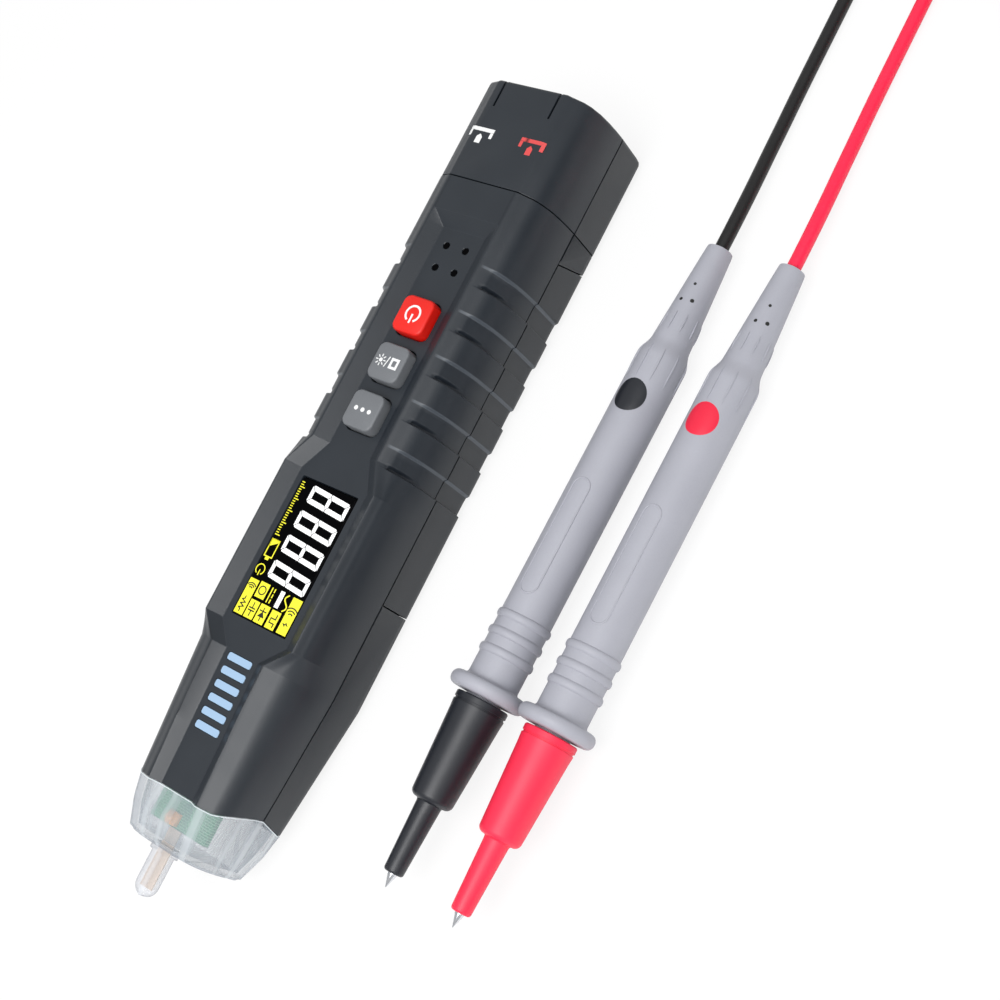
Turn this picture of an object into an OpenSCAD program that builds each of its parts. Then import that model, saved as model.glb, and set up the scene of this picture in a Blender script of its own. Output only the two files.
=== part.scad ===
// Pen multimeter with its pair of test leads.
// The meter lies on its back: +Y runs to the jack end, +Z comes out of its face.
// The origin is on the back face, midway between the battery door and the start of the taper.

/* [Body] */
// Width of the meter at the grip
body_w = 36; // [34:0.5:40]
// Thickness from the back to the front face
body_h = 30; // [29:0.5:33]
// Height of the seam between the front and back shells
seam_z = 13.5; // [13:0.25:14.5]
// Wall of the moulded shells
wall = 2; // [1.6:0.1:2.4]
// Radius of the corners along the back
corner_r = 3.5; // [2:0.25:5]
// From the origin to the seam of the clear nose
nose_seam_y = 45.6; // [44:0.2:48]
// How far each side has drawn in there
nose_seam_in = 2; // [1:0.25:3]
// Height of the back face there
nose_seam_low = 2.6; // [1.5:0.1:3.5]
// How far the front face has dropped there
nose_seam_drop = 2.5; // [1:0.25:3.5]
// How far that seam runs back at the sides
seam_wave = 2.4; // [1:0.1:2.4]
// From the origin to the seam of the jack end
end_seam_y = 109; // [107:0.5:112]
// From the origin to the end face with the jacks
end_y = 135.5; // [134:0.5:140]
// Gap that shows at each seam
seam_gap = 0.3; // [0.2:0.05:0.4]

/* [Front panel] */
// Depth of the sunk panel below the front face
panel_depth = 2.3; // [2:0.1:2.6]
// Depth of the sunk panel at the clear nose
panel_nose_depth = 1.7; // [1.5:0.1:2]
// How far the panel's sloped wall runs sideways
panel_slope = 3.4; // [2.8:0.1:3.6]
// Half width of the panel floor by the buttons
panel_half = 6.4; // [6:0.1:6.6]
// Half width of the panel floor by the display
panel_wide_half = 10.4; // [9.8:0.1:10.4]
// Half width of the panel floor by the level bars
panel_nose_half = 5.2; // [5:0.1:5.6]
// Front face left beside the sunk panel
rim_w = 0.4; // [0.3:0.1:0.6]
// Rear end of the panel floor
panel_rear_y = 97; // [96:0.25:98]
// Where the panel starts to widen for the display
panel_widen_y = 39.4; // [39:0.2:40.2]
// How long the panel takes to widen
panel_widen_l = 7.6; // [6:0.2:7.8]
// From the display to where the panel starts to narrow
panel_narrow_gap = 2; // [1.6:0.2:2.6]
// How long it takes to narrow
panel_narrow_l = 5.6; // [4.4:0.2:5.6]
// Diameter of each sound hole
sound_hole_d = 1.8; // [1.2:0.1:2.2]
// Spacing of the four sound holes
sound_pitch = 5.8; // [5:0.1:6.4]
// Middle of the sound holes
sound_y = 89.9; // [88.5:0.2:90.5]

/* [Grip] */
// Grooves on each side
groove_count = 5; // [3:1:5]
// Tip side of the first groove
groove_y = 38.4; // [37:0.2:39]
// Distance from groove to groove
groove_pitch = 11.6; // [10.8:0.1:11.8]
// Width of a groove
groove_w = 5.6; // [4.4:0.1:6]
// Depth of a groove
groove_depth = 0.7; // [0.5:0.05:0.9]
// Length of the slope at a groove's jack side
groove_bevel = 1.3; // [1:0.1:2]

/* [Buttons] */
// Width of a key cap
key_w = 9.1; // [8.4:0.1:9.4]
// Length of a key cap
key_l = 9.2; // [8.6:0.1:9.6]
// Corner radius of a key cap
key_r = 1.8; // [1:0.1:2]
// How far a key cap stands above the panel floor
key_proud = 2.7; // [2:0.1:3]
// Middle of the key nearest the display
key_y = 48.9; // [48.4:0.1:49.2]
// Distance from key to key
key_pitch = 12.45; // [12:0.05:12.6]
// Travel of a key
key_travel = 0.4; // [0.3:0.05:0.5]
// Clearance round a key in its hole
key_clear = 0.3; // [0.2:0.05:0.35]
// Thickness of the flange that keeps a key in
key_flange_h = 0.9; // [0.7:0.1:1.1]
// How far that flange reaches past the hole
key_flange_w = 0.7; // [0.5:0.1:0.8]

/* [Display] */
// Width of the display glass
glass_w = 17; // [15:0.2:18]
// Length of the display glass
glass_l = 35; // [33:0.5:36]
// Thickness of the display glass
glass_h = 1; // [0.8:0.1:1.1]
// Rear edge of the display glass
glass_y = 30; // [29:0.2:31]
// Clearance round the glass
glass_clear = 0.15; // [0.1:0.05:0.2]
// Ledge that the glass sits on
glass_ledge = 0.9; // [0.6:0.1:1.2]
// How much the module is longer and wider than the glass
module_margin = 1; // [0.6:0.2:1.4]
// Number of bars that show the field level
bar_count = 6; // [4:1:6]
// Half length of a bar
bar_half = 3.7; // [3:0.1:4]
// Width of a bar
bar_w = 1.75; // [1.4:0.05:2]
// Distance from bar to bar
bar_pitch = 3.32; // [3:0.02:3.4]
// From the display to the middle of the nearest bar
bar_gap = 9; // [8.6:0.1:9.6]
// Clearance round a bar in its slot
bar_clear = 0.1; // [0.05:0.05:0.15]

/* [Clear nose] */
// Length of the clear nose without its finger
nose_l = 13.2; // [12:0.2:14]
// Wall of the clear nose
nose_wall = 1.6; // [1.2:0.1:2]
// How far each side draws in from the seam to the end of the nose
nose_end_in = 4; // [2.5:0.25:5.5]
// Height of the underside at its end
nose_end_low = 5.2; // [4:0.2:6]
// Height of the top at its end above the finger
nose_end_rise = 0.9; // [0.6:0.1:2]
// Length of the fitting spigot inside the shells
nose_spigot_l = 3; // [2:0.2:4]
// Width of the sensing finger
finger_w = 6; // [5:0.2:7]
// Thickness of the finger
finger_h = 2.6; // [2.2:0.1:3]
// How far the collar at its root stands out round it
collar_w = 0.5; // [0.3:0.1:0.6]
// How far the finger stands out of the nose
finger_l = 11; // [9:0.5:13]
// Width of the metal strip in the finger
strip_w = 2.2; // [1.6:0.1:2.6]
// Thickness of that strip
strip_h = 0.4; // [0.3:0.05:0.5]

/* [Jack end] */
// Bore of each test jack
jack_bore_d = 4; // [4:0.05:4.1]
// Outer diameter of the jack tube
jack_tube_d = 5.6; // [5.2:0.1:6]
// Distance between the two jacks
jack_pitch = 19; // [18.6:0.1:19.1]
// Depth of the bore
jack_bore_l = 22; // [20:0.5:23]
// Diameter of the well round each tube
jack_well_d = 11.2; // [10.6:0.1:11.4]
// How far the tube stops below the end face
jack_sunk = 2; // [1:0.25:3]
// Height of the jacks above the back
jack_z = 15; // [14.5:0.1:15.5]
// Length of the relief slits in the front of the jack end
slit_l = 7.1; // [5:0.1:9]
// Width of a relief slit
slit_w = 0.5; // [0.4:0.05:0.7]
// Distance from the middle to each slit
slit_x = 8.2; // [7:0.1:9]
// Rounding of the end face's rim
rim_r = 0.9; // [0.5:0.1:1.2]

/* [Battery bay] */
// Tip side of the battery door
door_y0 = 11.4; // [10.8:0.2:12]
// Jack side of the battery door
door_y1 = 101; // [100:0.25:102]
// How far the door reaches farther back at the meter's back
door_slant = 3.4; // [0:0.2:3.6]
// Diameter of a battery cell
cell_d = 10.5; // [10.4:0.05:10.5]
// Length of a battery cell
cell_l = 44.5; // [44:0.1:44.5]
// Distance between the cells' axes
cell_pitch = 11.6; // [11.2:0.1:12]
// Clear length left at each end of a cell for its contact
contact_l = 3.2; // [2.8:0.1:3.6]
// Tip side of the cells' compartment
bay_y = 27; // [26:0.25:28]
// Diameter of the spring contact's wire
spring_wire_d = 0.6; // [0.5:0.05:0.7]
// Turns of a spring contact
spring_turns = 3; // [2:1:4]
// Diameter of a door screw's shank
door_screw_d = 2; // [1.8:0.1:2.2]
// Diameter of its head
door_screw_head_d = 4; // [3.6:0.1:4.4]
// Diameter of the shell screws' shanks
shell_screw_d = 1.8; // [1.6:0.1:2]
// Distance that the door lifts
door_travel = 25; // [20:1:30]

/* [Test probes] */
// Distance from the meter's middle to the black probe
probe_x = 50.6; // [48:0.2:52]
// Distance between the two probes
probe_pitch = 19; // [18.8:0.1:22]
// Place of the finger guards along the meter
guard_y = 4.6; // [2:0.2:8]
// Diameter of a finger guard
guard_d = 18; // [16:0.5:18]
// Thickness of a finger guard
guard_t = 3.4; // [2.6:0.1:4]
// Diameter of the handle
handle_d = 12; // [11:0.2:12.6]
// Length of the handle behind the guard
handle_l = 84.4; // [80:0.2:88]
// Ring ribs behind the guard
rib_count = 3; // [2:1:4]
// Distance from rib to rib
rib_pitch = 4.2; // [3.6:0.1:4.6]
// Height of a rib above the handle
rib_h = 0.5; // [0.4:0.1:0.8]
// Diameter where the strain relief starts
relief_d = 9.4; // [9:0.1:10]
// Diameter where the cord leaves it
relief_end_d = 6; // [5.4:0.1:6.6]
// Length of the strain relief
relief_l = 29; // [26:0.5:32]
// Diameter of the tip shroud at the guard
shroud_d = 12.4; // [11.6:0.1:12.6]
// Diameter of its shoulder
shroud_nose_d = 9.9; // [9.4:0.1:11]
// Length of the shroud to its shoulder
shroud_l = 24.6; // [22:0.2:26]
// Length of the narrow tube ahead of the shoulder
shroud_tube_l = 16.7; // [15:0.1:18]
// Diameter of that tube at the shoulder
shroud_tube_d = 5.8; // [5.4:0.1:6.6]
// Diameter of that tube at its mouth
shroud_mouth_d = 4.6; // [4.2:0.1:5.4]
// Diameter of the needle
needle_d = 2.4; // [2:0.1:2.6]
// How much of the needle shows
needle_proud = 3.3; // [2.5:0.1:4]
// Diameter of the spigot that the shroud grips
spigot_d = 8.4; // [8:0.1:9]
// Length of that spigot
spigot_l = 17; // [14:0.5:19]
// Clearance between shroud and spigot
shroud_clear = 0.1; // [0.05:0.01:0.1]
// Diameter of the coloured inlay
badge_d = 8; // [7:0.1:8.4]
// From the guard to the inlay
badge_y = 72.6; // [70:0.2:76]
// Depth of the inlay
badge_depth = 0.8; // [0.6:0.1:1]

/* [Test cords] */
// Diameter of a test cord
cord_d = 3.4; // [3.2:0.1:3.4]
// Radius of a coil's outer turn, to the middle of the cord
coil_r = 24; // [23.5:0.5:26]
// Turns in each of the coil's two layers
coil_turns = 3; // [2:1:3]
// Distance from turn to turn
coil_pitch = 3.9; // [3.85:0.05:4]
// Place of the coils along the meter
coil_y = 220; // [220:1:240]
// Diameter of a plug's body
plug_d = 11.2; // [10.8:0.1:11.4]
// Length of a plug's body
plug_l = 36; // [32:1:40]
// Length of the sleeve round the pin
sleeve_l = 20; // [18:0.5:22]
// Outer diameter of that sleeve
sleeve_d = 10.2; // [10:0.1:10.4]
// Bore of that sleeve
sleeve_bore_d = 7.4; // [7:0.1:7.6]
// Diameter of the plug's pin
pin_d = 3.9; // [3.8:0.05:3.95]
// How far the pin stops inside the sleeve
pin_sunk = 1; // [0.5:0.1:2]

/* [Hidden] */

$fn = 64;
over = 1; // overrun of a cut past a face
touch = 0.02; // slack between pieces that sit one in the other
half_w = body_w / 2;

// Levels inside the meter
nose_seam_w = body_w - 2 * nose_seam_in;
nose_seam_top = body_h - nose_seam_drop;
floor_z = body_h - panel_depth;
floor_nose_z = nose_seam_top - panel_nose_depth;
roof_t = 1.8; // wall under the sunk panel
roof_z = floor_z - roof_t;
cell_clear = 0.2;
cell_z = wall + cell_clear + cell_d / 2;
bay_roof_z = cell_z + cell_d / 2 + cell_clear;
bay_roof_t = 1.3;
tray_top = bay_roof_z + bay_roof_t;
tray_half = half_w - wall - 2 * seam_gap;
board_share = 0.325; // how far up the main board stands between the tray and the roof
board_z = tray_top + board_share * (roof_z - tray_top);
board_h = 1.6;
board_top = board_z + board_h;

// Where the panel narrows and the taper starts follow the display
panel_narrow_y = glass_l - glass_y + panel_narrow_gap;
taper_y = panel_narrow_y + panel_narrow_l;
bar_y = glass_l - glass_y + bar_gap;

// The side's outline as shares: in from the widest line to the rim, up from the seam to the face
side_shares = [[0, 0], [0.02, 0.2], [0.07, 0.4], [0.17, 0.61], [0.34, 0.78], [0.52, 0.875],
    [0.72, 0.925], [0.9, 0.968], [1, 1]];
// How much of a groove's depth each of those points takes
groove_shares = [1, 1, 1, 1, 0.8, 0.1, 0, 0, 0];
corner_steps = 5;
side_draft = 0.3; // how far the side leans in at the back

// A solid through rings of points, each ring counter-clockwise as seen along the solid
function mean(ring) = ([for (p = ring) 1] * ring) / len(ring);
module skin(rings) {
    n = len(rings[0]);
    m = len(rings);
    points = concat([for (ring = rings) each ring], [mean(rings[0]), mean(rings[m - 1])]);
    sides = [for (i = [0 : m - 2]) for (j = [0 : n - 1]) let (k = (j + 1) % n)
        each [[i * n + j, i * n + k, (i + 1) * n + k],
              [i * n + j, (i + 1) * n + k, (i + 1) * n + j]]];
    ends = [for (j = [0 : n - 1]) let (k = (j + 1) % n)
        each [[m * n, k, j], [m * n + 1, (m - 1) * n + j, (m - 1) * n + k]]];
    polyhedron(points = points, faces = concat(sides, ends));
}
// Half of a cross-section, from the back up to the front face, as [x, z]
function half_outline(w, low, top, rim, g, r) = concat(
    [for (k = [0 : corner_steps]) let (a = 90 * k / corner_steps)
        [w - side_draft - g - r + r * sin(a), low + r - r * cos(a)]],
    [for (k = [0 : len(side_shares) - 1])
        [w - side_shares[k][0] * (w - rim) - g * groove_shares[k],
         seam_z + side_shares[k][1] * (top - seam_z)]]);
function outline(w, low, top, rim, g = 0, r = corner_r) =
    let (half = half_outline(w, low, top, rim, g, r), n = len(half))
    concat(half, [for (k = [n - 1 : -1 : 0]) [-half[k][0], half[k][1]]]);
function at_y(y, section) = [for (p = section) [p[0], y, p[1]]];

// A round tube along points; its path never runs along the direction called up
function unit(v) = v / norm(v);
function tube_ring(path, i, r, sides, up) =
    let (t = unit(path[min(i + 1, len(path) - 1)] - path[max(i - 1, 0)]),
        right = unit(cross(t, up)), lift = cross(right, t))
    [for (k = [0 : sides - 1]) let (a = 360 * k / sides)
        path[i] + r * cos(a) * right + r * sin(a) * lift];
module tube(path, r, sides, up = [0, 0, 1]) {
    skin([for (i = [0 : len(path) - 1]) tube_ring(path, i, r, sides, up)]);
}

// A turned shape whose profile [radius, place] runs from the cord's end toward the tip, along -Y
module turned(profile) {
    rotate([90, 0, 0]) rotate_extrude() polygon(profile);
}
module rounded_plate(w, l, r) {
    square([w, l - 2 * r], center = true);
    square([w - 2 * r, l], center = true);
    for (x = [-1, 1], y = [-1, 1])
        translate([x * (w / 2 - r), y * (l / 2 - r)]) circle(r = r);
}
module slab(x, y0, y1, z0, z1) {
    translate([-x, y0, z0]) cube([2 * x, y1 - y0, z1 - z0]);
}

// The rim of the front face along the meter
rim_rear = panel_half + panel_slope + rim_w;
rim_wide = panel_wide_half + panel_slope + rim_w / 2;
rim_nose = panel_nose_half + panel_slope * panel_nose_depth / panel_depth + rim_w;
panel_wide_y = panel_widen_y - panel_widen_l;
rims = [[-nose_seam_y, rim_nose], [-taper_y, rim_nose], [-panel_narrow_y, rim_wide],
    [panel_wide_y, rim_wide], [panel_widen_y, rim_rear], [end_y, rim_rear]];
function rim_at(y) = lookup(y, rims);
function taper_share(y) = max(0, (-y - taper_y) / (nose_seam_y - taper_y));
function half_at(y) = half_w - taper_share(y) * (half_w - nose_seam_w / 2);
function low_at(y) = taper_share(y) * nose_seam_low;
function top_at(y) = body_h - taper_share(y) * (body_h - nose_seam_top);
function floor_at(y) = floor_z - taper_share(y) * (floor_z - floor_nose_z);
function roof_at(y) = floor_at(y) - roof_t;
function body_section(y, g = 0) = outline(half_at(y), low_at(y), top_at(y), rim_at(y), g);
inner_r = corner_r - wall / 2;

// The seam of the clear nose runs back at the sides: [height, share of the wave]
wave_table = [[0, 0], [5, 0.13], [7, 0.2], [10.5, 0.75], [13.5, 1], [16.3, 0.92], [19, 0.7], [22, 0.4],
    [24.4, 0.07], [26, -0.2], [30, -0.2]];
function at_seam(y, section) = [for (p = section)
    [p[0], y + seam_wave * lookup(p[1] * 30 / body_h, wave_table), p[1]]];
function room_section(y, slack = 0) = outline(half_at(y) - wall - slack, low_at(y) + wall + slack,
    roof_at(y) - slack, rim_at(y) - wall - slack, 0, inner_r);

// The outer form; its side takes the grooves, steep on the tip side and sloped on the jack side
groove_step = 0.3;
function groove_at(k) = groove_y + k * groove_pitch;
groove_table = [for (k = [0 : groove_count - 1]) each [
    [groove_at(k), 0],
    [groove_at(k) + groove_step, groove_depth],
    [groove_at(k) + groove_w - groove_bevel, groove_depth],
    [groove_at(k) + groove_w, 0]]];
plain_ys = [-nose_seam_y, -taper_y, -panel_narrow_y, panel_wide_y];
module body_form() {
    skin(concat([at_seam(-nose_seam_y, body_section(-nose_seam_y))],
        [for (k = [1 : len(plain_ys) - 1]) at_y(plain_ys[k], body_section(plain_ys[k]))],
        [for (s = groove_table) at_y(s[0], body_section(s[0], s[1]))],
        [at_y(end_seam_y, body_section(end_seam_y))]));
}
module body_room(y0, y1) {
    ys = [for (y = concat([y0], plain_ys, [panel_widen_y, y1])) if (y >= y0 && y <= y1) y];
    skin([for (y = ys) at_y(y, room_section(y))]);
}

// The sunk panel with its sloped walls, from the nose to behind the sound holes
wall_end_share = 0.98;
function trough(half, low, share = 0) =
    let (rise = panel_depth + over, run = panel_slope * rise / panel_depth)
    [[half + share * run, low + share * rise], [half + run, low + rise],
     [-half - run, low + rise], [-half - share * run, low + share * rise]];
module panel_cut() {
    nose_y = -nose_seam_y - over;
    skin([
        at_y(nose_y, trough(panel_nose_half, floor_at(nose_y))),
        at_y(-taper_y, trough(panel_nose_half, floor_z)),
        at_y(-panel_narrow_y, trough(panel_wide_half, floor_z)),
        at_y(panel_wide_y, trough(panel_wide_half, floor_z)),
        at_y(panel_widen_y, trough(panel_half, floor_z)),
        at_y(panel_rear_y, trough(panel_half, floor_z)),
        at_y(panel_rear_y + wall_end_share * panel_slope * (panel_depth + over) / panel_depth,
            trough(panel_half, floor_z, wall_end_share))]);
}

// Keys, display and level bars, with the holes that they stand in
key_ys = [for (k = [0 : 2]) key_y + k * key_pitch];
key_flange_z = roof_z - key_flange_h;
module key_hole(y) {
    translate([0, y, roof_z - over]) linear_extrude(height = roof_t + 2 * over)
        rounded_plate(key_w + 2 * key_clear, key_l + 2 * key_clear, key_r + key_clear);
}
module sound_holes() {
    for (x = [-1, 1], y = [-1, 1])
        translate([x * sound_pitch / 2, sound_y + y * sound_pitch / 2, roof_z - over])
            cylinder(h = roof_t + 2 * over, d = sound_hole_d);
}
glass_mid_y = glass_y - glass_l / 2;
glass_z = floor_z - glass_h;
window_half = glass_w / 2 - glass_ledge;
module glass_seat() {
    slab(glass_w / 2 + glass_clear, glass_y - glass_l - glass_clear, glass_y + glass_clear,
        glass_z, body_h);
    slab(window_half, glass_y - glass_l + glass_ledge, glass_y - glass_ledge, roof_z - over, body_h);
}
bar_r = 0.55;
module bar_boxes(grow, low, flush) {
    for (k = [0 : bar_count - 1]) let (y = -bar_y - k * bar_pitch)
        translate([0, y, low]) linear_extrude(height = (flush ? floor_at(y) : body_h) - low)
            rounded_plate(2 * (bar_half + grow), bar_w + 2 * grow, bar_r + grow, $fn = 16);
}

// Four shell screws bite into posts of the front: two from the back, in sunk holes, and two from
// the room under the battery door
post_d = 5.4;
column_d = 6.4;
post_x = 9.5;
post_nose_y = 30;
rear_post_x = 10;
rear_post_y = 88;
nose_posts = [[-post_x, -post_nose_y], [post_x, -post_nose_y]];
rear_posts = [[-rear_post_x, rear_post_y], [rear_post_x, rear_post_y]];
posts = concat(nose_posts, rear_posts);
screw_seat_z = 9;
post_end = 2; // plastic left over a screw's end
shell_screw_l = roof_z - post_end - bay_roof_z;
function post_base(p) = p[1] > 0 ? tray_top + touch : seam_z;
function seat_at(p) = p[1] > 0 ? bay_roof_z : screw_seat_z;
shell_screw_head_d = 3.6;
shell_screw_head_h = 1.5;
screw_sink_d = 4.2;
screw_hole_d = 2.2;

module front_shell() {
    color("#33373b") difference() {
        union() {
            difference() {
                body_form();
                body_room(-nose_seam_y - over, end_seam_y + over);
            }
            for (p = posts) translate([p[0], p[1], post_base(p)])
                cylinder(h = roof_at(p[1]) + roof_t / 2 - post_base(p), d = post_d);
        }
        slab(body_w, -nose_seam_y - over, end_seam_y + over, -body_h, seam_z);
        panel_cut();
        for (y = key_ys) key_hole(y);
        sound_holes();
        glass_seat();
        bar_boxes(bar_clear, roof_at(-nose_seam_y) - over, false);
        for (p = posts) translate([p[0], p[1], post_base(p) - over])
            cylinder(h = seat_at(p) + shell_screw_l + 2 * over - post_base(p), d = shell_screw_d);
    }
}

// The back shell carries the battery tray between its two ends
tray_wall = 1.2;
tray_low_z = 3.5;
bay_half = cell_pitch / 2 + cell_d / 2 + cell_clear;
bay_l = cell_l + 2 * contact_l;
door_screw_ys = [17, 95];
boss_d = 5;
board_pads = [[-12, 16], [12, 16], [-12, 97], [12, 97]];
board_pad_d = 4;
// What lies behind the battery door's rear edge, which leans back toward the meter's back
module behind_door(y) {
    translate([0, y, seam_z]) rotate([atan(door_slant / seam_z), 0, 0])
        translate([-body_w, 0, -2 * body_h]) cube([2 * body_w, 2 * end_y, 4 * body_h]);
}
// The shadow gap outside the lip on which the front stands
lip_in = 0.8;
module seam_shadow(rear_y) {
    side = [[half_at(-nose_seam_y) - lip_in, -nose_seam_y - over], [half_w - lip_in, -taper_y],
        [half_w - lip_in, rear_y]];
    translate([0, 0, seam_z - seam_gap]) linear_extrude(height = seam_gap + over) difference() {
        translate([-body_w, -2 * nose_seam_y]) square([2 * body_w, 2 * (end_y + nose_seam_y)]);
        polygon(concat(side, [for (k = [2 : -1 : 0]) [-side[k][0], side[k][1]]]));
    }
}
module back_shell() {
    color("#2f3337") difference() {
        union() {
            difference() {
                body_form();
                body_room(-nose_seam_y - over, door_y0 - wall);
                intersection() {
                    body_room(door_y1 + wall, end_seam_y + over);
                    behind_door(door_y1 + wall);
                }
                slab(body_w, -nose_seam_y - over, end_seam_y + over, seam_z, 2 * body_h);
                difference() {
                    slab(body_w, door_y0, end_seam_y, -over, 2 * body_h);
                    behind_door(door_y1);
                }
            }
            for (p = nose_posts) translate([p[0], p[1], low_at(p[1]) + wall / 2])
                cylinder(h = seam_z - low_at(p[1]) - wall / 2, d = column_d);
            slab(tray_half, door_y0 - wall, door_y1 + wall / 2, bay_roof_z, bay_roof_z + bay_roof_t);
            difference() {
                slab(bay_half + tray_wall, bay_y - tray_wall, bay_y + bay_l + tray_wall,
                    tray_low_z, bay_roof_z + touch);
                slab(bay_half, bay_y, bay_y + bay_l, tray_low_z - over, bay_roof_z + over);
            }
            for (y = door_screw_ys) translate([0, y, wall + cell_clear])
                cylinder(h = bay_roof_z - wall, d = boss_d);
            for (p = board_pads) translate([p[0], p[1], bay_roof_z])
                cylinder(h = board_z - bay_roof_z, d = board_pad_d);
        }
        for (p = nose_posts) translate([p[0], p[1], -over]) {
            cylinder(h = screw_seat_z + over, d = screw_sink_d);
            cylinder(h = seam_z + 2 * over, d = screw_hole_d);
        }
        for (p = rear_posts) translate([p[0], p[1], bay_roof_z - over])
            cylinder(h = bay_roof_t + 2 * over, d = screw_hole_d);
        difference() {
            seam_shadow(end_seam_y + over);
            slab(body_w, door_y0 - seam_gap, door_y1 + over, -over, 2 * body_h);
        }
        for (y = door_screw_ys) translate([0, y, 0])
            cylinder(h = bay_roof_z - over, d = door_screw_d + 2 * door_screw_clear);
    }
}
module shell_screws() {
    color("#8f9296") for (p = posts) translate([p[0], p[1], seat_at(p)]) {
        cylinder(h = shell_screw_l, d = shell_screw_d);
        translate([0, 0, -shell_screw_head_h])
            cylinder(h = shell_screw_head_h, d = shell_screw_head_d);
    }
}

// The battery door is the lower half of the grip and lifts straight off
door_screw_clear = 0.05;
door_screw_l = 8.5;
door_screw_head_h = 1.2;
door_sink_h = 1.5;
door_sink_d = 4.6;
door_seat = 0.1;
module battery_door() {
    y0 = door_y0 + seam_gap;
    y1 = door_y1 - seam_gap;
    color("#2f3337") difference() {
        body_form();
        body_room(y0 + wall, y1 - wall);
        slab(body_w, -2 * nose_seam_y, y0, -over, 2 * body_h);
        behind_door(y1);
        slab(body_w, -nose_seam_y - over, end_seam_y + over, seam_z - seam_gap, 2 * body_h);
        slab(tray_half + seam_gap, door_y0, door_y1, bay_roof_z - door_seat, 2 * body_h);
        for (y = door_screw_ys) translate([0, y, -over]) {
            cylinder(h = door_sink_h + over, d = door_sink_d);
            cylinder(h = wall + 2 * over, d = screw_hole_d);
        }
    }
}
module door_screws() {
    color("#8f9296") for (y = door_screw_ys) translate([0, y, door_sink_h]) {
        cylinder(h = door_screw_l, d = door_screw_d);
        translate([0, 0, -door_screw_head_h])
            cylinder(h = door_screw_head_h, d = door_screw_head_d);
    }
}

// Two cells lie side by side, one turned end for end
cell_nub_d = 5.2;
cell_nub_l = 1;
plate_half = 4.4;
plate_low_z = 4.4;
plate_t = 0.4;
bump_d = 6;
bump_end_d = 3.6;
spring_r = 3.4;
spring_end_r = 2.4;
spring_rings = 16;
spring_sides = 6;
module cell_ends() {
    for (turn = [0, 180])
        translate([0, bay_y + bay_l / 2, cell_z]) rotate([0, 0, turn])
            translate([-cell_pitch / 2, 0, 0]) children();
}
module battery_cells() {
    color("#b9bcc0") cell_ends() rotate([-90, 0, 0]) translate([0, 0, -cell_l / 2]) {
        cylinder(h = cell_l - cell_nub_l, d = cell_d);
        cylinder(h = cell_l, d = cell_nub_d);
    }
}
module battery_springs() {
    steps = spring_turns * spring_rings;
    gap = contact_l - plate_t - spring_wire_d;
    color("#c9ccd0") cell_ends() translate([0, -bay_l / 2 + plate_t + spring_wire_d / 2, 0])
        tube([for (i = [0 : steps]) let (a = 360 * i / spring_rings, r = spring_r
            + (spring_end_r - spring_r) * i / steps) [r * cos(a), gap * i / steps, r * sin(a)]],
            spring_wire_d / 2, spring_sides, [0, 1, 0]);
}
module battery_plates() {
    color("#c9ccd0") cell_ends() for (side = [-1, 1]) {
        translate([-plate_half, side < 0 ? -bay_l / 2 : bay_l / 2 - plate_t, plate_low_z - cell_z])
            cube([2 * plate_half, plate_t, 2 * (cell_z - plate_low_z)]);
        if (side > 0) translate([0, bay_l / 2 - plate_t, 0]) rotate([90, 0, 0])
            cylinder(h = contact_l - plate_t - touch, d1 = bump_d, d2 = bump_end_d);
    }
}

// The jack end: two covers round a block with a deep well for each jack
end_roof_z = body_h - wall;
function end_section(inset) = outline(half_w - inset, inset, body_h - inset, rim_rear - inset / 2);
function end_room(slack) = outline(half_w - wall - slack, wall + slack, end_roof_z - slack,
    rim_rear - wall - slack, 0, inner_r);
jack_well_l = 20;
jack_tube_y = 104;
rim_steps = [0, 30, 60, 90];
module end_form() {
    skin(concat([at_y(end_seam_y + seam_gap, end_section(0))],
        [for (a = rim_steps) at_y(end_y - rim_r + rim_r * sin(a), end_section(rim_r - rim_r * cos(a)))]));
}
module at_jacks(y) {
    for (x = [-1, 1]) translate([x * jack_pitch / 2, y, jack_z]) rotate([-90, 0, 0]) children();
}
module end_cover() {
    difference() {
        end_form();
        skin([at_y(end_seam_y - over, end_room(0)), at_y(end_y - wall, end_room(0))]);
        at_jacks(end_y - 2 * wall) cylinder(h = 3 * wall, d = jack_well_d);
        for (x = [-1, 1]) translate([x * slit_x - slit_w / 2, end_y - slit_l, seam_z + wall])
            cube([slit_w, slit_l + over, body_h]);
    }
}
module end_cover_front() {
    color("#33373b") difference() {
        end_cover();
        slab(body_w, end_seam_y, end_y + over, -over, seam_z + touch);
    }
}
module end_cover_back() {
    color("#2f3337") difference() {
        end_cover();
        seam_shadow(end_y - lip_in);
        slab(body_w, end_seam_y, end_y + over, seam_z, 2 * body_h);
    }
}
block_y = 108.2;
module jack_block() {
    color("#26292c") difference() {
        union() {
            skin([at_y(block_y, room_section(end_seam_y, touch)),
                at_y(end_seam_y + seam_gap + over, room_section(end_seam_y, touch))]);
            skin([at_y(end_seam_y + seam_gap, end_room(touch)), at_y(end_y - wall - touch, end_room(touch))]);
        }
        at_jacks(end_y - jack_well_l) cylinder(h = jack_well_l, d = jack_well_d);
        at_jacks(block_y - over) cylinder(h = end_y - block_y, d = jack_tube_d + 2 * touch);
    }
}
module jack_tube(side) {
    color("#b8bcc2") translate([side * jack_pitch / 2, 0, jack_z]) rotate([-90, 0, 0]) difference() {
        translate([0, 0, jack_tube_y]) cylinder(h = end_y - jack_sunk - jack_tube_y, d = jack_tube_d);
        translate([0, 0, end_y - jack_sunk - jack_bore_l]) cylinder(h = jack_bore_l + over, d = jack_bore_d);
    }
}
module com_jack_tube() {
    jack_tube(-1);
}
module input_jack_tube() {
    jack_tube(1);
}

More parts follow.
